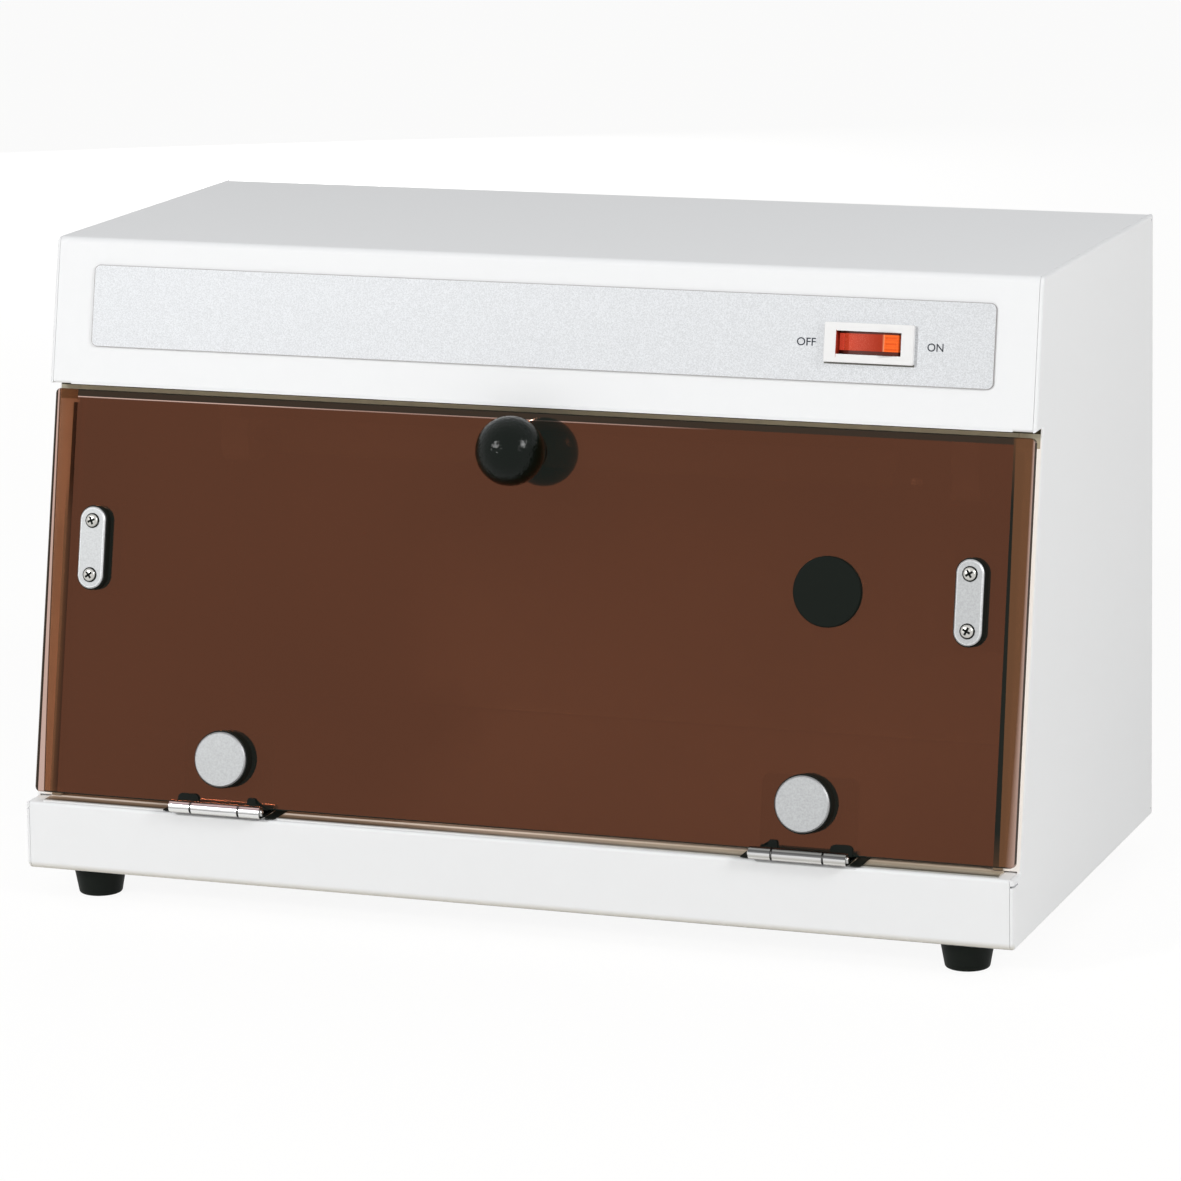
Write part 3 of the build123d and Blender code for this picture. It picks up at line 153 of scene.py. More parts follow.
class Graph:
    """A node tree with one compact way to add a node."""

    def __init__(self, tree):
        self.tree = tree

    def plug(self, value, socket):
        if isinstance(value, Wire):
            self.tree.links.new(value.socket, socket)
        elif isinstance(value, list):
            for one in value:
                self.tree.links.new(one.socket, socket)
        elif isinstance(value, tuple) and socket.type == "RGBA" and len(value) == 3:
            socket.default_value = (*value, 1.0)
        else:
            socket.default_value = value

    def node(self, kind, settings=None, values=(), output=0):
        """Settings come first, then the values or links of the sockets, by number or by name."""
        made = self.tree.nodes.new(kind)
        for key, value in (settings or {}).items():
            setattr(made, key, value)
        pairs = values.items() if isinstance(values, dict) else enumerate(values)
        for key, value in pairs:
            self.plug(value, made.inputs[key])
        return Wire(self, made.outputs[output])

    def axis(self, where, letter):
        return self.node("ShaderNodeSeparateXYZ", None, [where], output=letter)


print("wires ready")


# %% Finishes
class Finish(Graph):
    """A material with one Principled shader and short calls for the patterns that feed it."""

    def __init__(self, name, **sockets):
        self.material = bpy.data.materials.new(name)
        self.material.use_nodes = True
        super().__init__(self.material.node_tree)
        self.shader = self.tree.nodes["Principled BSDF"]
        self.out = self.tree.nodes["Material Output"]
        for label, value in sockets.items():
            self.set(label.replace("_", " "), value)

    def set(self, label, value):
        self.plug(value, self.shader.inputs[label])

    def place(self, scale=(1, 1, 1), turn=(0, 0, 0), move=(0, 0, 0)):
        """Object coordinates in metres, which stay with the piece when it moves."""
        at = self.node("ShaderNodeTexCoord", output="Object")
        return self.node("ShaderNodeMapping", {"vector_type": "TEXTURE"}, {
            "Vector": at, "Location": move, "Rotation": turn, "Scale": scale})

    def noise(self, where, scale, detail=2.0, roughness=0.5):
        return self.node("ShaderNodeTexNoise", None, {
            "Vector": where, "Scale": scale, "Detail": detail, "Roughness": roughness})

    def ranged(self, value, low, high, bottom=0.0, top=1.0):
        """The value's stretch from low to high, spread from bottom to top."""
        return self.node("ShaderNodeMapRange", None, [value, low, high, bottom, top])

    def mix(self, factor, a, b):
        return self.node("ShaderNodeMix", {"data_type": "RGBA"}, {0: factor, 6: a, 7: b}, output=2)

    def ramp(self, value, stops):
        """Colours at places from 0 to 1, as (place, colour) pairs."""
        made = self.tree.nodes.new("ShaderNodeValToRGB")
        while len(made.color_ramp.elements) < len(stops):
            made.color_ramp.elements.new(0.5)
        for element, (place, colour) in zip(made.color_ramp.elements, stops):
            element.position = place
            element.color = (*colour, 1.0)
        self.plug(value, made.inputs[0])
        return Wire(self, made.outputs[0])

    def turn_smooth(self, where, centre, kept, radius, spread):
        """Normals of a perfect cylinder or ball where the surface lies at that radius.

        Gives back the mask of that surface and the normals, for a bump that comes on top."""
        away = self.node("ShaderNodeVectorMath", {"operation": "SUBTRACT"}, [where, tuple(centre)])
        across_axis = self.node("ShaderNodeVectorMath", {"operation": "MULTIPLY"}, [away, kept])
        far = self.node("ShaderNodeVectorMath", {"operation": "LENGTH"}, [across_axis], output=1)
        round_mask = far.between(radius - spread, radius + spread)
        outward = self.node("ShaderNodeVectorMath", {"operation": "NORMALIZE"}, [across_axis])
        in_world = self.node("ShaderNodeVectorTransform", {
            "vector_type": "NORMAL", "convert_from": "OBJECT", "convert_to": "WORLD"}, [outward])
        flat = self.node("ShaderNodeNewGeometry", None, (), output=1)
        joined = self.node("ShaderNodeMix", {"data_type": "VECTOR"}, {
            0: round_mask, 4: flat, 5: in_world}, output=1)
        self.set("Normal", joined)
        return round_mask, joined

    def bump(self, height, strength, distance, over=None):
        """Small heights on the surface, or on normals that are already turned."""
        values = {"Strength": strength, "Distance": distance, "Height": height}
        if over is not None:
            values["Normal"] = over
        self.set("Normal", self.node("ShaderNodeBump", None, values))


def dress(finish, *names):
    """Gives a finish to CAD pieces."""
    for name in names:
        slots = nodes[name].data.materials
        slots.clear()
        slots.append(finish.material)
    print(finish.material.name, "on", len(names), "pieces")


def add_piece(name, mesh, body, finish, replaces=()):
    """A finished mesh as a piece that moves with a body."""
    piece = bpy.data.objects.new(name, mesh)
    bpy.context.scene.collection.objects.link(piece)
    mesh.materials.clear()
    mesh.materials.append(finish.material)
    if replaces:
        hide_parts(*replaces)
    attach(piece, body)
    print(name, "has", len(mesh.polygons), "faces")


print("finishes ready")

# %% [markdown]
# ## Studio
# The background of the photograph is pure white. Here only the camera, and what the polished parts mirror,
# sees a white world. The light that falls on the object comes from a soft, dimmer world and from two soft
# boxes, one at each side, which also make the two glints on the ball knob. A weak third box, low behind the
# cabinet, keeps the back from going grey when the camera walks round, and hardly touches the sides that the
# photograph shows. The floor is mostly a white glow for the camera, mixed with a share of lit white that
# keeps a soft shadow.

# %% World
AMBIENT = 0.42
world = bpy.data.worlds.new("studio")
bpy.context.scene.world = world
world.use_nodes = True
world.node_tree.nodes.clear()
sky = Graph(world.node_tree)
seen = sky.tree.nodes.new("ShaderNodeLightPath").outputs
looked_at = Wire(sky, seen["Is Camera Ray"]).or_mask(Wire(sky, seen["Is Glossy Ray"]))
looked_at = looked_at.or_mask(Wire(sky, seen["Is Transmission Ray"]))
strength = looked_at * (1 - AMBIENT) + AMBIENT
background = sky.node("ShaderNodeBackground", None, {"Color": (1.0, 1.0, 1.0), "Strength": strength})
sky.tree.links.new(background.socket, sky.tree.nodes.new("ShaderNodeOutputWorld").inputs["Surface"])
bpy.context.scene.view_settings.view_transform = "Standard"
print("world at", AMBIENT)


# %% Soft boxes
CABINET_MIDDLE = Vector((0, 0, 0.13))


def soft_box(name, toward, distance, size, power):
    """A square lamp in a direction from the cabinet's middle, turned to face it."""
    lamp = bpy.data.lights.new(name, "AREA")
    lamp.shape = "SQUARE"
    lamp.size = size
    lamp.energy = power
    holder = bpy.data.objects.new(name, lamp)
    bpy.context.scene.collection.objects.link(holder)
    aim = Vector(toward).normalized()
    holder.location = CABINET_MIDDLE + aim * distance
    holder.rotation_euler = (-aim).to_track_quat("-Z", "Y").to_euler()
    holder.visible_camera = False


soft_box("box_left", (-0.444, -0.778, 0.400), distance=2.2, size=0.25, power=21)
soft_box("box_right", (0.80, -0.35, 0.49), distance=2.0, size=0.40, power=14.5)
soft_box("box_back", (-0.45, 0.88, 0.0), distance=2.2, size=0.22, power=11)
print("three soft boxes")

# %% Floor
FLOOR_REACH = 6
FLOOR_GLOW = 1.03
GLOW_SHARE = 0.88
floor_mesh = bpy.data.meshes.new("floor")
floor_corners = [(x * FLOOR_REACH, y * FLOOR_REACH, 0) for x, y in ((-1, -1), (1, -1), (1, 1), (-1, 1))]
floor_mesh.from_pydata(floor_corners, [], [(0, 1, 2, 3)])
floor = bpy.data.objects.new("floor", floor_mesh)
bpy.context.scene.collection.objects.link(floor)
ground = Finish("floor_white", Base_Color=(0.86, 0.845, 0.815), Roughness=0.9)
ray = ground.tree.nodes.new("ShaderNodeLightPath").outputs
direct = Wire(ground, ray["Is Camera Ray"]).or_mask(Wire(ground, ray["Is Glossy Ray"]))
glow = ground.node("ShaderNodeEmission", None, {"Color": (1.0, 1.0, 1.0), "Strength": FLOOR_GLOW})
lit = Wire(ground, ground.shader.outputs[0])
shown = ground.node("ShaderNodeMixShader", None, [direct * GLOW_SHARE, lit, glow])
ground.tree.links.new(shown.socket, ground.out.inputs["Surface"])
floor_mesh.materials.append(ground.material)
print("floor ready")

# %% [markdown]
# ## White powder paint
# The folded steel carries a white powder coat: almost smooth, with a faint orange peel that only shows
# where light grazes it. Noise on object coordinates drives a very small bump, because the peel is fixed to
# the sheet. The strip between the panel and the door is painted khaki, as painted shade on white steel,
# with a painted shadow in the gap above it. The base's lower fold is painted warm and dark as painted
# shade, with a painted shadow line under its right part. A painted picture could carry these zones, but
# masks stay sharp at any distance, so the same coordinates are compared with a few places in millimetres.

# %% Paint zones
LIP_DEPTH = (-61.8, -58.0)
LIP_HEIGHT = (190.0, 197.2)
LIP_HALF_W = 196.6
GAP_SHADOW_UP = 195.3
BASE_FRONT = -100.0
HEM_FADE = (15.0, 12.3)
HEM_LINE_UP = 12.5
HEM_LINE_FADE = (-80.0, 60.0)
paint = Finish("powder_white", Specular_IOR_Level=0.12)
at_cabinet = paint.place(scale=(MM, MM, MM))
sideways, back_to, upward = (paint.axis(at_cabinet, letter) for letter in "XYZ")
# Painted shade: the lip under the fascia is painted khaki, with a painted shadow in the gap above it.
lip = back_to.between(*LIP_DEPTH) * upward.between(*LIP_HEIGHT) * (abs(sideways) < LIP_HALF_W)
base_front = back_to < BASE_FRONT
# Painted shade on the base's lower fold, warm and dark, and a painted shadow line under its right part.
hem = base_front * paint.ranged(upward, *HEM_FADE)
hem_shadow_line = base_front * (upward < HEM_LINE_UP) * paint.ranged(sideways, *HEM_LINE_FADE)
shadow_lines = (lip * (upward > GAP_SHADOW_UP)).or_mask(hem_shadow_line)
print("paint zones ready")

# %% Paint
WHITE = (0.808, 0.817, 0.828)
KHAKI_SHADE = (0.34, 0.32, 0.25)
HEM_SHADE = (0.66, 0.63, 0.56)
GAP_SHADOW = (0.030, 0.024, 0.012)
# The white coat with the painted shade and the painted shadow lines laid over it.
coat = paint.mix(lip, paint.mix(hem, WHITE, HEM_SHADE), KHAKI_SHADE)
paint.set("Base Color", paint.mix(shadow_lines, coat, GAP_SHADOW))
peel = paint.noise(paint.place(), 900.0)
paint.set("Roughness", peel * 0.1 + 0.45)
paint.bump(peel, 0.05, 0.0002)
dress(paint, "top_cover", "side_panel_left", "side_panel_right", "base_pan", "back_panel")

# %% [markdown]
# ## Stainless steel
# The chamber is lined with rolled stainless sheet. Rolling leaves lines along the sheet that are far too
# fine for a mesh, so the noise that changes its roughness is stretched a hundred times along X. The sill in
# front of the door is duller and not metallic, and carries a painted reflection: the brown shine of the
# door, with one bright painted highlight line in it and dark bands of painted shade. A colour ramp along Y
# draws these stripes, one set for the left and one for the right, because they change along the sill.

# %% Sill stripes
SILL_BACK = -84.0
SILL_FRONT = -100.0
SILL_UP = 39.6
SILL_CHANGE = (-20.0, 100.0)
SILL_REFLECTION_LEFT = (
    (0.00, (0.17, 0.09, 0.055)), (0.14, (0.20, 0.12, 0.08)), (0.20, (0.34, 0.22, 0.15)),
    (0.33, (0.17, 0.09, 0.055)), (0.41, (0.24, 0.16, 0.11)), (0.45, (1.00, 0.94, 0.90)),
    (0.54, (1.00, 0.92, 0.88)), (0.60, (0.42, 0.31, 0.23)), (0.72, (0.27, 0.18, 0.12)),
    (0.82, (0.12, 0.08, 0.05)), (0.88, (0.09, 0.06, 0.04)), (0.95, (0.75, 0.75, 0.74)))
SILL_REFLECTION_RIGHT = (
    (0.00, (0.10, 0.06, 0.045)), (0.34, (0.07, 0.05, 0.035)), (0.40, (0.42, 0.38, 0.33)),
    (0.48, (0.70, 0.66, 0.59)), (0.56, (0.48, 0.43, 0.35)), (0.72, (0.46, 0.41, 0.32)),
    (0.82, (0.29, 0.25, 0.19)), (0.90, (0.13, 0.12, 0.09)), (0.95, (0.09, 0.08, 0.06)),
    (1.00, (0.45, 0.45, 0.42)))
print(len(SILL_REFLECTION_LEFT), "and", len(SILL_REFLECTION_RIGHT), "stops on the sill")

# %% Stainless
STEEL = (0.46, 0.45, 0.44)
stainless = Finish("stainless_sheet")
grain = stainless.noise(stainless.place(scale=(0.2, 0.002, 0.002)), 6.0, 3.0)
stainless.set("Roughness", grain * 0.16 + 0.30)
at_sheet = stainless.place(scale=(MM, MM, MM))
sill = (stainless.axis(at_sheet, "Y") < SILL_BACK) * (stainless.axis(at_sheet, "Z") < SILL_UP)
forward = stainless.ranged(stainless.axis(at_sheet, "Y"), SILL_BACK, SILL_FRONT)
to_right = stainless.ranged(stainless.axis(at_sheet, "X"), *SILL_CHANGE)
# The stripes are a painted reflection of the door, with a painted highlight line and painted shade.
strip = stainless.mix(to_right, stainless.ramp(forward, SILL_REFLECTION_LEFT), stainless.ramp(forward, SILL_REFLECTION_RIGHT))
stainless.set("Base Color", stainless.mix(sill, STEEL, strip))
stainless.set("Metallic", 1 - sill)
stainless.bump(grain, 0.04, 0.0001)
dress(stainless, "chamber_liner", "chamber_side_left", "chamber_side_right", "catch_strikes", "catch_poles")

# %% [markdown]
# ## The bronze door
# The door is dark brown acrylic with a polished face. From the front it works as a brown mirror: the black
# parts on it show a full black double, and the cabinet behind it stays hidden. Only its outer margins are
# clear, and the white steel behind them shines through in orange brown, as if a film were stuck to the
# inner field alone. A glass shader could do both, but the chamber would then show through everywhere. So
# the finish mixes a brown mirror with a tinted clear share that is larger at the margins. Light that goes
# to the chamber passes everywhere. On the right margin's face the clear share is small, and the steel that
# shines through is painted there as a lighter brown, with the seal behind it as a painted dark line; on
# the lower part of the left margin the seal behind is painted dark in the same way. The edges catch light,
# which is painted as light lines inside the left, top and right edges, with a band of painted shade
# beside the left one. A rim of painted shade runs round the front edges, a band of painted shade lies
# under the top edge, and the cut faces at the sides are dull and dark. A faint emission paints a glow that
# lifts the door's blacks. Every zone is a distance from one edge of the door, in millimetres, on
# coordinates that lean as the door does. The lines at the sides get wider towards the foot, so their
# widths grow with `low`, which is 0 at the top and 1 at the foot.

# %% Door zones
DOOR_FOOT = (0, -96.25 * MM, 41.5 * MM)
DOOR_HALF_W = 196.1
DOOR_H = 156.3
FIELD_LEFT = 9.6
FIELD_RIGHT = 7.8
FIELD_TOP = 2.7
FRONT_SKIN = 0.5
# A faint emission paints a glow that lifts the door's blacks.
DOOR_GLOW = (0.0080, 0.0150, 0.0135)
bronze = Finish("bronze_acrylic", Specular_IOR_Level=0.2, Emission_Strength=1.0)
bronze.set("Emission Color", DOOR_GLOW)
at_door = bronze.place(scale=(MM, MM, MM), turn=(-LEAN, 0, 0), move=DOOR_FOOT)
across, deep, risen = (bronze.axis(at_door, letter) for letter in "XYZ")
front = deep < FRONT_SKIN
from_left = across + DOOR_HALF_W
from_right = DOOR_HALF_W - across
below_top = DOOR_H - risen
low = 1 - risen / DOOR_H
left_margin = from_left < FIELD_LEFT
right_margin = from_right < FIELD_RIGHT
between_margins = (1 - left_margin) * (1 - right_margin)
# Painted shade: a dark band under the top edge, where the lip behind is in shade.
top_band = (below_top < FIELD_TOP) * between_margins * front
print("door zones ready")

# %% Door edges
RIM_W = 1.1
RIM_FOOT_W = 0.5
PALE_W = 0.6
PALE_RIGHT_W = 0.7
PALE_TOP_W = 0.4
SHADE_BAND_W = 0.5
LINE_LEFT_SIDE = 7.0
ON_CUT = 0.03
TOP_FADE_RIGHT = (75.0, 45.0)
TOP_FADE_LEFT = (-70.0, -110.0)
# Lines of painted highlight run inside the left, top and right edges, where the edges catch light.
past_rim = from_left - (low * 0.3 + RIM_W)
pale_width = low * 0.75 + low ** 3 * 1.15 + PALE_W
# A band of painted shade runs beside the left highlight line.
shade_band = past_rim.between(pale_width, pale_width + SHADE_BAND_W) * front
top_fade = bronze.ranged(across, *TOP_FADE_RIGHT) * (bronze.ranged(across, *TOP_FADE_LEFT) * 0.4 + 0.6)
painted_top_light = below_top.between(FIELD_TOP, FIELD_TOP + PALE_TOP_W) * between_margins * top_fade
painted_right_light = bronze.ranged(from_right, low * 0.6 + low ** 3 * 2.0 + PALE_RIGHT_W, 0.2) * 0.68
painted_edge_light = past_rim.between(0.0, pale_width).or_mask(painted_top_light).or_mask(painted_right_light) * front
cut_face = (from_left < ON_CUT).or_mask(from_right < ON_CUT) * (1 - front)
# A rim of painted shade along the front edges, which also darkens the cut faces.
dark_rim = ((past_rim < 0.0).or_mask(risen < RIM_FOOT_W) * front).or_mask(cut_face)
line_ends = bronze.ranged(low, 0.02, 0.15, 0.35, 1.0) * bronze.ranged(low, 1.0, 0.92, 0.6, 1.0)
line_right = from_right.between(LINE_LEFT_SIDE - low * 1.4, FIELD_RIGHT) * line_ends * front
bronze.set("Metallic", (1 - cut_face) * 0.94)
bronze.set("Roughness", cut_face * 0.82 + 0.03)
print("door edges ready")

# %% Door tint
BROWN = (0.124, 0.0355, 0.0145)
MARGIN_BROWN = (0.150, 0.058, 0.022)
SEAL_SHADE = (0.056, 0.013, 0.003)
SHADE_BAND_BROWN = (0.075, 0.026, 0.010)
LINE_DARK = (0.010, 0.006, 0.004)
EDGE_BROWN = (0.038, 0.0175, 0.010)
EDGE_LIGHT_PINK = (0.55, 0.375, 0.32)
SEAL_EDGE = (6.2, 9.4)
tone = bronze.noise(at_door, 0.012, 1.0) * 0.16 + 0.92
brown = bronze.node("ShaderNodeVectorMath", {"operation": "SCALE"}, {0: BROWN, "Scale": tone})
# Over the margins MARGIN_BROWN is painted light of the white steel seen through; over the seal it turns to
# painted shade.
at_seal = bronze.mix(bronze.ranged(from_left, *SEAL_EDGE), MARGIN_BROWN, SEAL_SHADE)
tint = bronze.mix(right_margin, bronze.mix(left_margin, brown, at_seal), MARGIN_BROWN)
# The right margin's dark line paints the seal behind it.
tint = bronze.mix(line_right, bronze.mix(shade_band, tint, SHADE_BAND_BROWN), LINE_DARK)
# Painted shade on the rim and in the band under the top edge.
tint = bronze.mix(dark_rim.or_mask(top_band), tint, EDGE_BROWN)
# The light lines are painted highlights.
bronze.set("Base Color", bronze.mix(painted_edge_light, tint, EDGE_LIGHT_PINK))
print("door tint ready")

# %% Door glass
CLEAR_LEFT = 0.75
CLEAR_RIGHT = 0.35
CLEAR_FIELD = 0.24
SEAL_FROM = 6.6
SEAL_FADE = (122.0, 105.0)
CLEAR_BROWN = (0.617, 0.4165, 0.314)
PASSED_LIGHT = (1.0, 0.92, 0.84)
clear = bronze.node("ShaderNodeBsdfTransparent", None, {"Color": CLEAR_BROWN})
let_in = bronze.node("ShaderNodeBsdfTransparent", None, {"Color": PASSED_LIGHT})
# The clear share is cut back on the right margin's face and over the seal low on the left, where the painted
# light and shade stand instead.
over_seal = (from_left > SEAL_FROM) * bronze.ranged(risen, *SEAL_FADE) * front
share = left_margin * (CLEAR_LEFT - over_seal * 0.55) + right_margin * (CLEAR_RIGHT - front * 0.23)
share = share + between_margins * (CLEAR_FIELD - top_band * 0.19)
share = share * (1 - painted_edge_light.or_mask(dark_rim)) * (1 - shade_band * 0.75)
mirror = Wire(bronze, bronze.shader.outputs[0])
pane = bronze.node("ShaderNodeMixShader", None, [share, mirror, clear])
rays = bronze.tree.nodes.new("ShaderNodeLightPath").outputs
for kind in ("Is Diffuse Ray", "Is Shadow Ray"):
    pane = bronze.node("ShaderNodeMixShader", None, [Wire(bronze, rays[kind]), pane, let_in])
bronze.tree.links.new(pane.socket, bronze.out.inputs["Surface"])
dress(bronze, "door_panel")

# %% [markdown]
# ## Black parts
# Feet, seals and pads are matt rubber. The ball is a finely pitted gloss moulding, which softens each lamp
# into a round glint. The plug and the housings have a fine eroded texture. All three are nearly black, so
# what tells them apart is how sharply they shine. A finer mesh could hide the ball's facets, but normals
# that are worked out from its centre hide them at no cost. The seals' lowest ends carry a painted
# reflection: the brown shine of the sill that they stand on.

# %% Rubber
RUBBER_BLACK = (0.0085, 0.0110, 0.0090)
SILL_SHINE = (0.20, 0.16, 0.12)
SEAL_END_UP = (38.0, 42.4)
SEAL_INNER_X = 180.0
rubber = Finish("black_rubber", Specular_IOR_Level=0.08)
at_rubber = rubber.place(scale=(MM, MM, MM))
at_side = abs(rubber.axis(at_rubber, "X")) > SEAL_INNER_X
# A painted reflection of the sill's brown shine on the seals' lowest ends.
seal_end = rubber.axis(at_rubber, "Z").between(*SEAL_END_UP) * at_side
rubber.set("Base Color", rubber.mix(seal_end, RUBBER_BLACK, SILL_SHINE))
dust = rubber.noise(rubber.place(), 2500.0, 3.0)
rubber.set("Roughness", dust * 0.3 + 0.4)
rubber.bump(dust, 0.15, 0.0001)
dress(rubber, "foot_front_left", "foot_front_right", "foot_rear_left", "foot_rear_right", "door_seal_left",
      "door_seal_right", "hinge_gasket_left", "hinge_gasket_right", "hinge_pads", "catch_pads",
      "clamp_washers")

# %% Ball
BALL_R = 13.1
BALL_UP = 141.6
BALL_OUT = 18.2
ball_at = Vector(DOOR_FOOT) + UP_SLOPE * (BALL_UP * MM) + OUT * (BALL_OUT * MM)
gloss = Finish("black_ball", Base_Color=(0.0010, 0.0036, 0.0018), Specular_IOR_Level=0.16)
pitted = gloss.noise(gloss.place(), 1000.0, 1.0, 0.6)
gloss.set("Roughness", pitted * 0.06 + 0.04)
ball_normal = gloss.turn_smooth(gloss.place(), ball_at, (1.0, 1.0, 1.0), BALL_R * MM, 0.1 * MM)[1]
gloss.bump(pitted, 1.0, 0.00019, ball_normal)
dress(gloss, "door_knob")

# %% Black mouldings
RED_LIT_WALL_X = (120.48, 120.6)
RED_LIT_WALL_UP = (221.5, 231.5)
MOULDED_BLACK = (0.0060, 0.0085, 0.0065)
RED_LIGHT_ON_BLACK = (0.22, 0.022, 0.010)


def red_lit_wall(finish):
    """The wall beside the rocker's left end, where red light from the clear moulding is painted."""
    at = finish.place(scale=(MM, MM, MM))
    return finish.axis(at, "X").between(*RED_LIT_WALL_X) * finish.axis(at, "Z").between(*RED_LIT_WALL_UP)


moulded = Finish("black_moulding", Specular_IOR_Level=0.06)
eroded = moulded.noise(moulded.place(), 3500.0)
moulded.set("Roughness", eroded * 0.2 + 0.4)
moulded.bump(eroded, 0.1, 0.0001)
# Painted red light from the rocker on the switch body's wall.
moulded.set("Base Color", moulded.mix(red_lit_wall(moulded), MOULDED_BLACK, RED_LIGHT_ON_BLACK))
dress(moulded, "switch_body", "catch_magnet_left", "catch_magnet_right", "interlock_body", "inlet_shell",
      "port_plug")

# %% [markdown]
# ## Metals
# The clamp discs and catch plates are blasted aluminium: light grey and mottled. The plates have half-round
# ends and a painted highlight, a bright line just inside their edges where they catch the light, so the
# mask takes the distance to the plate's middle line, and is on where that distance comes close to the
# plate's radius. The hinges are polished, and in the photograph their knuckles mirror dark and light
# things that this studio doesn't have. Cards set up round the hinges would light the rest of the cabinet
# too. So a ramp over the knuckle's height draws these bands as a painted reflection, one set for each
# hinge, because the two mirror different things. The screws are zinc-plated, and the reflector, the
# lamp's caps and the starter's can are bright aluminium.

# %% Blasted aluminium
CATCH_X = 175.5
CATCH_UP = 95.5
CATCH_R = 5.25
CATCH_STRAIGHT = 10.55
EDGE_IN = 0.04
EDGE_W = 0.66
satin = Finish("satin_metal", Metallic=0.85)
mottle = satin.noise(satin.place(), 1400.0, 4.0, 0.65)
at_plate = satin.place(scale=(MM, MM, MM), turn=(-LEAN, 0, 0), move=DOOR_FOOT)
off_middle = abs(satin.axis(at_plate, "X")) - CATCH_X
past_straight = (abs(satin.axis(at_plate, "Z") - CATCH_UP) - CATCH_STRAIGHT).above_zero()
from_line = (off_middle * off_middle + past_straight * past_straight) ** 0.5
# A painted highlight: a bright line just inside each plate's edge.
plate_edge_highlight = from_line.between(CATCH_R - EDGE_IN - EDGE_W, CATCH_R - EDGE_IN)
shade = satin.ranged(mottle, 0.35, 0.65, 0.33, 0.42) * (plate_edge_highlight * 0.55 + 1)
satin.set("Base Color", satin.node("ShaderNodeCombineColor", None, [shade * 0.97, shade * 0.99, shade]))
satin.set("Roughness", mottle * 0.2 + 0.4)
satin.bump(mottle, 0.12, 0.0001)
dress(satin, "catch_plate_left", "catch_plate_right", "clamp_disc_left", "clamp_disc_right")

# %% Hinge bands
BANDS_LEFT = (
    (0.00, (0.10, 0.09, 0.08)), (0.08, (0.40, 0.37, 0.34)), (0.20, (0.74, 0.74, 0.72)),
    (0.43, (0.78, 0.78, 0.77)), (0.49, (0.22, 0.22, 0.22)), (0.55, (0.80, 0.80, 0.80)),
    (0.77, (0.84, 0.84, 0.84)), (0.83, (0.22, 0.13, 0.16)), (0.90, (0.68, 0.52, 0.50)),
    (1.00, (0.16, 0.10, 0.09)))
BANDS_RIGHT = (
    (0.00, (0.10, 0.09, 0.08)), (0.08, (0.40, 0.37, 0.34)), (0.20, (0.70, 0.69, 0.67)),
    (0.32, (0.46, 0.45, 0.42)), (0.44, (0.56, 0.55, 0.53)), (0.50, (0.68, 0.68, 0.67)),
    (0.60, (0.68, 0.68, 0.68)), (0.66, (0.13, 0.13, 0.13)), (0.80, (0.10, 0.10, 0.10)),
    (0.87, (0.30, 0.30, 0.29)), (1.00, (0.16, 0.16, 0.15)))
print(len(BANDS_LEFT), "and", len(BANDS_RIGHT), "stops on the knuckles")

# %% Polished hinges
KNUCKLE_R = 2.4
HINGE_UP = 42.0
HINGE_AXIS = Vector((0, -103.45, HINGE_UP)) * MM
HINGE_X = 116.4
SEAM_AT = 9.9
SEAM_HALF_W = 0.42
SEAM_DARK = (0.03, 0.03, 0.03)
LEAF_GREY = (0.50, 0.50, 0.49)
polished = Finish("hinge_steel", Metallic=1.0)
at_hinge = polished.place(scale=(MM, MM, MM))
rubbed = polished.noise(polished.place(scale=(0.1, 0.002, 0.002)), 8.0, 3.0)
knuckle = polished.turn_smooth(polished.place(), HINGE_AXIS, (0.0, 1.0, 1.0), KNUCKLE_R * MM, 0.12 * MM)[0]
height = (polished.axis(at_hinge, "Z") - (HINGE_UP - KNUCKLE_R)) / (2 * KNUCKLE_R) + (rubbed - 0.5) * 0.08
seam = abs(abs(abs(polished.axis(at_hinge, "X")) - HINGE_X) - SEAM_AT) < SEAM_HALF_W
on_right = polished.axis(at_hinge, "X") > 0.0
bands = polished.mix(on_right, polished.ramp(height, BANDS_LEFT), polished.ramp(height, BANDS_RIGHT))
banded = polished.mix(knuckle, LEAF_GREY, bands)
polished.set("Base Color", polished.mix(seam * knuckle, banded, SEAM_DARK))
polished.set("Roughness", rubbed * 0.14 + 0.1)
dress(polished, "hinge_base_leaf_left", "hinge_base_leaf_right", "hinge_door_leaf_left",
      "hinge_door_leaf_right", "hinge_pins")

# %% Small metals
zinc = Finish("zinc_screw", Base_Color=(0.58, 0.57, 0.54), Metallic=1.0)
plated = zinc.noise(zinc.place(), 1800.0, 3.0)
zinc.set("Roughness", plated * 0.2 + 0.15)
dress(zinc, "foot_screws", "foot_nuts", "knob_screw", "knob_washer", "clamp_nuts")
bright = Finish("bright_aluminium", Base_Color=(0.85, 0.85, 0.86), Metallic=1.0)
rolled = bright.noise(bright.place(scale=(0.3, 0.004, 0.004)), 5.0, 2.0)
bright.set("Roughness", rolled * 0.12 + 0.1)
dress(bright, "reflector", "lamp_caps", "starter")
brass = Finish("contact_blade", Base_Color=(0.7, 0.6, 0.35), Metallic=1.0)
brass.set("Roughness", brass.noise(brass.place(), 700.0) * 0.2 + 0.2)
dress(brass, "switch_tabs", "inlet_pins")

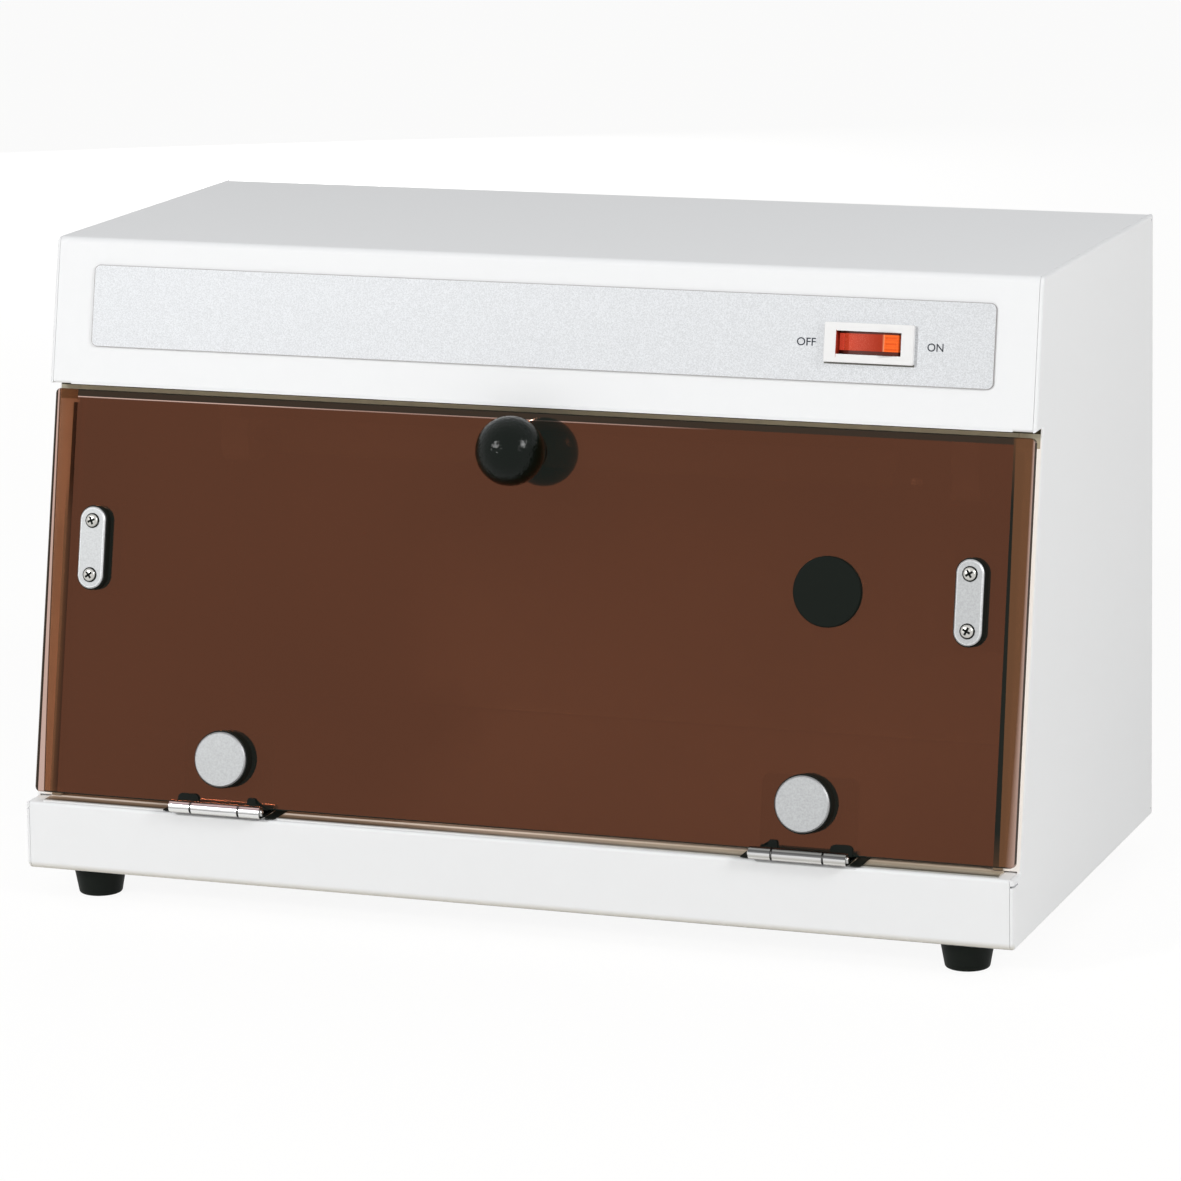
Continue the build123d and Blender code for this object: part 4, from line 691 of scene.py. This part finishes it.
# %% [markdown]
# ## Plastics
# The switch frame and the lampholders are white mouldings. The rocker is a clear red moulding: bright
# orange on the facet that faces the light, deep red with sparkling specks elsewhere. A glass shader would
# be slow and grainy in so small a piece, so its light and shade are painted in colours that simply follow
# X, in the rocker's own slope: painted light on the facet, painted shade at the far left end and deepening
# towards the ridge, a painted highlight on the ridge and painted shadow along the edges. Light that runs
# inside the clear moulding comes out at its left end, which a little emission stands for, and its red
# light is painted on the wall beside it.

# %% White mouldings
MOULDED_WHITE = (0.79, 0.79, 0.79)
RED_LIGHT_ON_WHITE = (0.34, 0.035, 0.015)
white_plastic = Finish("white_moulding", Specular_IOR_Level=0.15)
# Painted red light from the rocker on the frame's wall.
wall = red_lit_wall(white_plastic)
white_plastic.set("Base Color", white_plastic.mix(wall, MOULDED_WHITE, RED_LIGHT_ON_WHITE))
flow = white_plastic.noise(white_plastic.place(), 500.0)
white_plastic.set("Roughness", flow * 0.15 + 0.25)
white_plastic.bump(flow, 0.03, 0.0001)
dress(white_plastic, "switch_bezel", "lampholders", "starter_socket", "terminal_block", "interlock_plunger")

# %% Rocker
RIDGE_X = 139.4
ROCKER_FOOT = (0, -61.32 * MM, 226.08 * MM)
ROCKER_LEFT = 121.6
ROCKER_RIGHT = 145.0
ROCKER_SIDES = (-2.8, 3.45)
LIT_END = (120.6, 122.9)
RIB_PITCH = 1.1
LONG_REDS = (
    (0.00, (0.22, 0.014, 0.010)), (0.06, (0.26, 0.016, 0.010)), (0.10, (0.58, 0.048, 0.018)),
    (0.55, (0.46, 0.038, 0.012)), (0.95, (0.38, 0.030, 0.008)), (1.00, (0.90, 0.30, 0.14)))
SPARK = (0.95, 0.36, 0.22)
FACET_ORANGE = (0.90, 0.14, 0.022)
RIB_RED = (0.62, 0.08, 0.012)
SHADOW_RED = (0.09, 0.022, 0.016)
NO_GLOW = (0.0, 0.0, 0.0)
END_GLOW = (0.42, 0.040, 0.020)
red = Finish("red_rocker", Roughness=0.3, Specular_IOR_Level=0.12, Emission_Strength=1.0)
at_rocker = red.place(scale=(MM, MM, MM), turn=(-LEAN, 0, 0), move=ROCKER_FOOT)
over = red.axis(at_rocker, "X")
lift = red.axis(at_rocker, "Z")
# Painted shade at the far left end and deepening towards the ridge, and a painted highlight on the ridge.
long_part = red.ramp(red.ranged(over, ROCKER_LEFT, RIDGE_X), LONG_REDS)
specks = red.noise(at_rocker, 4.5, 1.0)
sparkle = red.ranged(specks, 0.56, 0.68) * red.ranged(over, 137.0, 124.0)
long_part = red.mix(sparkle * 0.42, long_part, SPARK)
ribs = (lift * (2 * math.pi / RIB_PITCH)).maths("SINE") * 0.5 + 0.5
# The facet that faces the light is painted bright orange as painted light.
facet = red.mix(ribs * 0.3, FACET_ORANGE, RIB_RED)
body_red = red.mix(over > RIDGE_X, long_part, facet)
shadowed = (lift > ROCKER_SIDES[1]).or_mask(lift < ROCKER_SIDES[0]).or_mask(over > ROCKER_RIGHT)
red.set("Base Color", red.mix(shadowed, body_red, SHADOW_RED))
lit_end = over.between(*LIT_END) * (1 - shadowed)
red.set("Emission Color", red.mix(lit_end, NO_GLOW, END_GLOW))
dress(red, "switch_rocker")

# %% [markdown]
# ## The printed film
# The fascia carries one long label of silver film. Metal flakes in the ink make it sparkle, and a hair-thin
# grey line frames it. The distance from a rounded rectangle finds that line, as it did on the catch plates,
# and a narrow strip under the switch is darker, where its frame keeps the light off.

# %% Silver film
FILM_HALF_W = 180.5
FILM_HALF_H = 15.8
FILM_CORNER = 2.5
FILM_LINE = 0.26
LINE_GREY = (0.30, 0.29, 0.29)
SHADE_ACROSS = (115.7, 150.3)
SHADE_HEIGHT = (-9.0, -8.0)
SHADE_GREY = (0.13, 0.125, 0.11)
film_at = middle("fascia_plate")
film = Finish("silver_film", Metallic=0.3, Specular_IOR_Level=0.3)
at_film = film.place(scale=(MM, MM, MM), turn=(-LEAN, 0, 0), move=tuple(film_at))
past_x = (abs(film.axis(at_film, "X")) - (FILM_HALF_W - FILM_CORNER)).above_zero()
past_z = (abs(film.axis(at_film, "Z")) - (FILM_HALF_H - FILM_CORNER)).above_zero()
from_corner = (past_x * past_x + past_z * past_z) ** 0.5
line = from_corner > FILM_CORNER - FILM_LINE
flakes = film.noise(at_film, 2.2, 2.0, 0.7)
glint = film.ranged(flakes, 0.35, 0.68, 0.50, 0.70)
silver = film.node("ShaderNodeCombineColor", None, [glint * 0.95, glint * 0.972, glint])
under_switch = film.axis(at_film, "X").between(*SHADE_ACROSS) * film.axis(at_film, "Z").between(*SHADE_HEIGHT)
film.set("Base Color", film.mix(line, film.mix(under_switch, silver, SHADE_GREY), LINE_GREY))
film.set("Roughness", flakes * 0.25 + 0.42)
film.bump(flakes, 0.06, 0.0001)
dress(film, "fascia_plate")

# %% [markdown]
# ## Lettering
# Two words are printed beside the switch. A text object is turned into a mesh first, because its points can
# then be squeezed to the width and height of the print, and laid on the sloping film one by one.

# %% Lettering
LETTER_H = 3.0
LETTER_T = 0.02
FILM_FACE = 0.3
ink = Finish("grey_ink", Base_Color=(0.035, 0.04, 0.05), Specular_IOR_Level=0.1)
ink.set("Roughness", ink.noise(ink.place(), 2000.0) * 0.2 + 0.5)


def print_word(name, word, centre_x, width, drop):
    """A word of flat letters on the film, squeezed to the width and height of the print."""
    letters = bpy.data.curves.new(name, "FONT")
    letters.body = word
    letters.offset = 0.008
    letters.extrude = 0.01
    source = bpy.data.objects.new(name + "_source", letters)
    mesh = bpy.data.meshes.new_from_object(source)
    bpy.data.objects.remove(source)
    xs = [v.co.x for v in mesh.vertices]
    ys = [v.co.y for v in mesh.vertices]
    zs = [v.co.z for v in mesh.vertices]
    wide = width * MM / (max(xs) - min(xs))
    tall = LETTER_H * MM / (max(ys) - min(ys))
    face = film_at + OUT * (FILM_FACE * MM)
    for v in mesh.vertices:
        x = centre_x * MM + (v.co.x - (max(xs) + min(xs)) / 2) * wide
        rise = (v.co.y - (max(ys) + min(ys)) / 2) * tall - drop * MM
        out = (v.co.z - min(zs)) / (max(zs) - min(zs)) * LETTER_T * MM
        v.co = Vector((x, 0, 0)) + Vector((0, face.y, face.z)) + UP_SLOPE * rise + OUT * out
    mesh.name = name
    add_piece(name, mesh, "cabinet", ink)


print_word("word_off", "OFF", centre_x=108.6, width=7.3, drop=1.3)
print_word("word_on", "ON", centre_x=158.0, width=6.1, drop=1.4)

# %% [markdown]
# ## Screws
# Eighteen cross-head screws hold the plates, the hinges and the back. They are all one shape in a few
# sizes, so one geometry tree makes them: it turns a head and a shank, cuts the cross, and sets a copy on
# every point of a small mesh of places, each turned by its own amount, as screws end up in real life. The
# shade in the catch plates' screws is painted with dark pieces, a cross in each head and a ring round it,
# which a second tree makes with the same turn.

# %% Tree helpers
def open_tree(name, inputs):
    """A geometry tree with its inputs, and a dictionary of wires to take them from."""
    tree = bpy.data.node_groups.new(name, "GeometryNodeTree")
    tree.interface.new_socket("Geometry", in_out="INPUT", socket_type="NodeSocketGeometry")
    for label, kind, default in inputs:
        made = tree.interface.new_socket(label, in_out="INPUT", socket_type=kind)
        if default is not None:
            made.default_value = default
    tree.interface.new_socket("Geometry", in_out="OUTPUT", socket_type="NodeSocketGeometry")
    graph = Graph(tree)
    given = tree.nodes.new("NodeGroupInput").outputs
    return tree, graph, {socket.name: Wire(graph, socket) for socket in given if socket.name}


def close_tree(tree, graph, take, item):
    """A copy of the item on every point, pointing along Out and twisted by its own amount."""
    spin = graph.node("FunctionNodeRandomValue", {"data_type": "FLOAT"}, {
        2: 0.0, 3: math.pi, "Seed": take["Seed"]}, output=1)
    facing = graph.node("FunctionNodeAlignRotationToVector", {"axis": "Z"}, {"Vector": take["Out"]})
    twist = graph.node("FunctionNodeAxisAngleToRotation", None, {"Axis": (0.0, 0.0, 1.0), "Angle": spin})
    turned = graph.node("FunctionNodeRotateRotation", {"rotation_space": "LOCAL"}, [facing, twist])
    copies = graph.node("GeometryNodeInstanceOnPoints", None, {
        "Points": take["Geometry"], "Instance": item, "Rotation": turned})
    real = graph.node("GeometryNodeRealizeInstances", None, [copies])
    coated = graph.node("GeometryNodeSetMaterial", None, {"Geometry": real, "Material": take["Finish"]})
    tree.links.new(coated.socket, tree.nodes.new("NodeGroupOutput").inputs["Geometry"])


def run_tree(name, tree, places, inputs):
    """The tree's result on a mesh of places, as a plain mesh."""
    spots = bpy.data.meshes.new(name + "_places")
    spots.from_pydata([tuple(p) for p in places], [], [])
    holder = bpy.data.objects.new(name + "_places", spots)
    bpy.context.scene.collection.objects.link(holder)
    modifier = holder.modifiers.new("tree", "NODES")
    modifier.node_group = tree
    for item in tree.interface.items_tree:
        if item.item_type == "SOCKET" and item.in_out == "INPUT" and item.name in inputs:
            modifier[item.identifier] = inputs[item.name]
    bpy.context.view_layer.update()
    mesh = bpy.data.meshes.new_from_object(holder.evaluated_get(bpy.context.evaluated_depsgraph_get()))
    bpy.data.objects.remove(holder)
    mesh.name = name
    mesh.shade_smooth()
    mesh.set_sharp_from_angle(angle=math.radians(35))
    return mesh


print("tree helpers ready")

# %% Screw tree
SCREW_INPUTS = (
    ("Head Radius", "NodeSocketFloat", 2.3 * MM), ("Head Height", "NodeSocketFloat", 1.3 * MM),
    ("Shank Radius", "NodeSocketFloat", 1.25 * MM), ("Shank Length", "NodeSocketFloat", 9.0 * MM),
    ("Slot Width", "NodeSocketFloat", 0.6 * MM), ("Slot Depth", "NodeSocketFloat", 0.8 * MM),
    ("Out", "NodeSocketVector", (0, 0, 1)), ("Seed", "NodeSocketInt", 1),
    ("Finish", "NodeSocketMaterial", None))


def screw_tree():
    """A tapering round head with a cross cut in it, on a plain shank."""
    tree, graph, take = open_tree("cross_head_screws", SCREW_INPUTS)
    drum = graph.node("GeometryNodeMeshCylinder", {"fill_type": "NGON"}, {
        "Vertices": 40, "Side Segments": 8, "Radius": 1.0, "Depth": 1.0})
    where = graph.node("GeometryNodeInputPosition")
    rise = graph.axis(where, "Z") + 0.5
    girth = (1 - rise ** 3.5 * 0.42) * take["Head Radius"]
    shaped = graph.node("ShaderNodeCombineXYZ", None, [
        graph.axis(where, "X") * girth, graph.axis(where, "Y") * girth, rise * take["Head Height"]])
    head = graph.node("GeometryNodeSetPosition", None, {"Geometry": drum, "Position": shaped})
    long_way = take["Head Radius"] * 1.25
    cuts = []
    for size in ((long_way, take["Slot Width"]), (take["Slot Width"], long_way)):
        bar = graph.node("GeometryNodeMeshCube", None, {
            "Size": graph.node("ShaderNodeCombineXYZ", None, [*size, take["Slot Depth"] * 2])})
        lift = graph.node("ShaderNodeCombineXYZ", None, [0.0, 0.0, take["Head Height"]])
        cuts.append(graph.node("GeometryNodeTransform", None, {"Geometry": bar, "Translation": lift}))
    crossed = graph.node("GeometryNodeMeshBoolean", {"operation": "DIFFERENCE"}, {
        "Mesh 1": head, "Mesh 2": cuts})
    pin = graph.node("GeometryNodeMeshCylinder", {"fill_type": "NGON"}, {
        "Vertices": 20, "Radius": take["Shank Radius"], "Depth": take["Shank Length"]})
    drop = graph.node("ShaderNodeCombineXYZ", None, [0.0, 0.0, take["Shank Length"] * -0.5])
    shank = graph.node("GeometryNodeTransform", None, {"Geometry": pin, "Translation": drop})
    screw = graph.node("GeometryNodeJoinGeometry", None, {"Geometry": [crossed, shank]})
    close_tree(tree, graph, take, screw)
    return tree


screws = screw_tree()
print("screw tree with", len(screws.nodes), "nodes")

# %% Cross tree
CROSS_INPUTS = (
    ("Bar Length", "NodeSocketFloat", 3.1 * MM), ("Bar Width", "NodeSocketFloat", 0.85 * MM),
    ("Top", "NodeSocketFloat", 1.34 * MM), ("Ring Radius", "NodeSocketFloat", 2.9 * MM),
    ("Ring Height", "NodeSocketFloat", 0.3 * MM), ("Out", "NodeSocketVector", (0, 0, 1)),
    ("Seed", "NodeSocketInt", 1), ("Finish", "NodeSocketMaterial", None))


def cross_tree():
    """Painted shade as dark pieces: a cross in a screw's head and a ring round its hole, with the same turn
    as the screw.
    """
    tree, graph, take = open_tree("cross_shade_pieces", CROSS_INPUTS)
    bars = []
    for size in ((take["Bar Length"], take["Bar Width"]), (take["Bar Width"], take["Bar Length"])):
        bar = graph.node("GeometryNodeMeshCube", None, {
            "Size": graph.node("ShaderNodeCombineXYZ", None, [*size, take["Top"]])})
        lift = graph.node("ShaderNodeCombineXYZ", None, [0.0, 0.0, take["Top"] * 0.5])
        bars.append(graph.node("GeometryNodeTransform", None, {"Geometry": bar, "Translation": lift}))
    ring = graph.node("GeometryNodeMeshCylinder", {"fill_type": "NGON"}, {
        "Vertices": 36, "Radius": take["Ring Radius"], "Depth": take["Ring Height"]})
    joined = graph.node("GeometryNodeJoinGeometry", None, {"Geometry": [*bars, ring]})
    close_tree(tree, graph, take, joined)
    return tree


crosses = cross_tree()
print("cross tree with", len(crosses.nodes), "nodes")

# %% Catch screws
CATCH_PITCH = 20.9
CATCH_SEAT = 4.5
door_foot = Vector(DOOR_FOOT)


def on_door(x, rise, out):
    return door_foot + Vector((x * MM, 0, 0)) + UP_SLOPE * (rise * MM) + OUT * (out * MM)


catch_places = [on_door(side * CATCH_X, CATCH_UP + step * CATCH_PITCH / 2, CATCH_SEAT)
                for side in (-1, 1) for step in (-1, 1)]
catch_mesh = run_tree("catch_screw_set", screws, catch_places, {
    "Out": OUT, "Seed": 4, "Head Radius": 2.5 * MM, "Shank Length": 9.8 * MM, "Slot Width": 0.8 * MM,
    "Finish": zinc.material})
add_piece("catch_screw_set", catch_mesh, "door", zinc, ["catch_screws"])
# Dark pieces of painted shade in the screws' crosses and round their heads.
cross_mesh = run_tree("catch_crosses", crosses, catch_places, {
    "Out": OUT, "Seed": 4, "Finish": moulded.material})
add_piece("catch_crosses", cross_mesh, "door", moulded)

# %% Hinge screws
HINGE_SCREW_X = 5.5
HINGE_HEAD_H = 1.0 * MM
hinge_low, hinge_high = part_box("hinge_screws")
hinge_seat = hinge_high[2] - HINGE_HEAD_H
hinge_y = (hinge_low[1] + hinge_high[1]) / 2
hinge_places = [Vector(((side * HINGE_X + step * HINGE_SCREW_X) * MM, hinge_y, hinge_seat))
                for side in (-1, 1) for step in (-1, 1)]
hinge_mesh = run_tree("hinge_screw_set", screws, hinge_places, {
    "Out": Vector((0, 0, 1)), "Seed": 9, "Head Height": HINGE_HEAD_H, "Shank Radius": 1.2 * MM,
    "Shank Length": 4.0 * MM, "Finish": zinc.material})
add_piece("hinge_screw_set", hinge_mesh, "cabinet", zinc, ["hinge_screws"])

# %% Back screws
BACK_Y = 103.2
BACK_ROWS = ((192.0, (41.5, 132.5, 223.5)), (90.0, (20.0, 245.0)))
back_places = [Vector((side * x * MM, BACK_Y * MM, z * MM))
               for x, heights in BACK_ROWS for side in (-1, 1) for z in heights]
back_mesh = run_tree("back_screw_set", screws, back_places, {
    "Out": Vector((0, 1, 0)), "Seed": 2, "Head Radius": 2.9 * MM, "Head Height": 1.9 * MM,
    "Shank Radius": 1.5 * MM, "Shank Length": 6.0 * MM, "Slot Width": 0.7 * MM, "Slot Depth": 1.0 * MM,
    "Finish": zinc.material})
add_piece("back_screw_set", back_mesh, "cabinet", zinc, ["back_screws"])

# %% [markdown]
# ## Pads and gaskets
# The black pads are drawn a little bigger than the plates and discs on them: a thin outline of painted shade.
# Each pad could be joined from a box and two cylinders, but one loop of points gives its outline at once,
# and a disc's washer is the same loop with no straight part. The gaskets' lobes show low above the hinges.
# The lobe next to the middle of the cabinet is also narrow, so a copy of the gasket has its upper points
# moved down, and those of that lobe moved in.

# %% Pads
PAD_SPILL = 0.55
PAD_STEPS = 24
CATCH_PAD_T = 3.0
DISC_R = 10.5
DISC_UP = 18.0
WASHER_T = 4.5


def stadium_pads(name, x, rise, radius, straight, thick):
    """A pad at each side of the door, with half-round ends and a flat top."""
    points, faces = [], []
    for side in (-1, 1):
        first = len(points)
        for out in (0.0, thick):
            for step in range(2 * PAD_STEPS):
                angle = math.pi * step / PAD_STEPS
                along = math.sin(angle) * radius + (straight if step < PAD_STEPS else -straight)
                points.append(on_door(side * x + math.cos(angle) * radius, rise + along, out))
        count = 2 * PAD_STEPS
        low = [first + n for n in range(count)]
        high = [first + count + n for n in range(count)]
        faces += [tuple(reversed(low)), tuple(high)]
        faces += [(low[n], low[(n + 1) % count], high[(n + 1) % count], high[n]) for n in range(count)]
    mesh = bpy.data.meshes.new(name)
    mesh.from_pydata([tuple(p) for p in points], [], faces)
    return mesh


# PAD_SPILL makes the pads wider than what lies on them, a thin outline of painted shade.
pad_mesh = stadium_pads("catch_pad_set", CATCH_X, CATCH_UP, CATCH_R + PAD_SPILL, CATCH_STRAIGHT, CATCH_PAD_T)
add_piece("catch_pad_set", pad_mesh, "door", rubber, ["catch_pads"])
washer_mesh = stadium_pads("clamp_washer_set", HINGE_X, DISC_UP, DISC_R + PAD_SPILL, 0.0, WASHER_T)
add_piece("clamp_washer_set", washer_mesh, "door", rubber, ["clamp_washers"])

# %% Gaskets
LOBE_DROP = 2.6
LOBE_NARROW = 0.42
LOBE_MIDDLE = 18.7
LOBE_KEPT_SIDE = 10.1
LOBE_HALF_W = 9.2
KEPT_BELOW = 1.0
KEPT_BEHIND = -0.5
for side, name in ((-1, "hinge_gasket_left"), (1, "hinge_gasket_right")):
    mesh = nodes[name].data.copy()
    inner_middle = side * (HINGE_X - LOBE_MIDDLE)
    kept_side = side * (HINGE_X - LOBE_KEPT_SIDE)
    for v in mesh.vertices:
        place = v.co - door_foot
        rise = place.dot(UP_SLOPE) / MM
        out = place.dot(OUT) / MM
        x = v.co.x / MM
        if rise < KEPT_BELOW or out < KEPT_BEHIND:
            continue
        rise -= LOBE_DROP
        if abs(x - inner_middle) < LOBE_HALF_W:
            x = kept_side + (x - kept_side) * LOBE_NARROW
        v.co = on_door(x, rise, out)
    mesh.name = name + "_low"
    add_piece(name + "_low", mesh, "door", rubber, [name])

# %% [markdown]
# ## Inside parts
# The ballast has a grey lacquered core of stacked sheets, and the lamp is a clear quartz tube. Its
# filaments are coils of fine wire, one near each end, which a spiral curve with a thin round profile gives
# at once.

# %% Ballast and lamp tube
lacquer = Finish("grey_lacquer", Base_Color=(0.3, 0.31, 0.32))
sheets = lacquer.noise(lacquer.place(scale=(0.0004, 0.1, 0.1)), 1.0, 0.0)
lacquer.set("Roughness", sheets * 0.2 + 0.4)
lacquer.bump(sheets, 0.4, 0.0003)
dress(lacquer, "ballast")
quartz = Finish("lamp_quartz", Base_Color=(0.92, 0.95, 0.97), Alpha=0.22)
quartz.set("Roughness", quartz.noise(quartz.place(), 60.0) * 0.06 + 0.03)
dress(quartz, "lamp_tube")

# %% Filaments
tungsten = Finish("filament_wire", Base_Color=(0.35, 0.34, 0.33), Metallic=1.0)
tungsten.set("Roughness", tungsten.noise(tungsten.place(), 900.0) * 0.2 + 0.3)
FILAMENT_IN = 26.0 * MM
FILAMENT_INPUTS = (
    ("Coil Radius", "NodeSocketFloat", 0.9 * MM), ("Coil Length", "NodeSocketFloat", 7.0 * MM),
    ("Wire Radius", "NodeSocketFloat", 0.16 * MM), ("Turns", "NodeSocketFloat", 9.0),
    ("Finish", "NodeSocketMaterial", None))


def filament_tree():
    """A coil of wire on every point, lying level and across the tube."""
    tree, graph, take = open_tree("filaments", FILAMENT_INPUTS)
    coil = graph.node("GeometryNodeCurveSpiral", None, {
        "Resolution": 12, "Rotations": take["Turns"], "Start Radius": take["Coil Radius"],
        "End Radius": take["Coil Radius"], "Height": take["Coil Length"]})
    half = take["Coil Length"] * -0.5
    centred = graph.node("GeometryNodeTransform", None, {
        "Geometry": coil, "Translation": graph.node("ShaderNodeCombineXYZ", None, [0.0, 0.0, half])})
    ring = graph.node("GeometryNodeCurvePrimitiveCircle", None, {
        "Resolution": 6, "Radius": take["Wire Radius"]})
    wire = graph.node("GeometryNodeCurveToMesh", None, {
        "Curve": centred, "Profile Curve": ring, "Fill Caps": True})
    lying = graph.node("GeometryNodeTransform", None, {
        "Geometry": wire, "Rotation": (math.radians(90), 0.0, 0.0)})
    copies = graph.node("GeometryNodeInstanceOnPoints", None, {"Points": take["Geometry"], "Instance": lying})
    real = graph.node("GeometryNodeRealizeInstances", None, [copies])
    coated = graph.node("GeometryNodeSetMaterial", None, {"Geometry": real, "Material": take["Finish"]})
    tree.links.new(coated.socket, tree.nodes.new("NodeGroupOutput").inputs["Geometry"])
    return tree


lamp_low, lamp_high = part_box("lamp_tube")
lamp_at = middle("lamp_tube")
filament_ends = (lamp_low[0] + FILAMENT_IN, lamp_high[0] - FILAMENT_IN)
filament_places = [(x, lamp_at.y, lamp_at.z) for x in filament_ends]
filament_mesh = run_tree("lamp_filaments", filament_tree(), filament_places, {"Finish": tungsten.material})
add_piece("lamp_filaments", filament_mesh, "cabinet", tungsten)
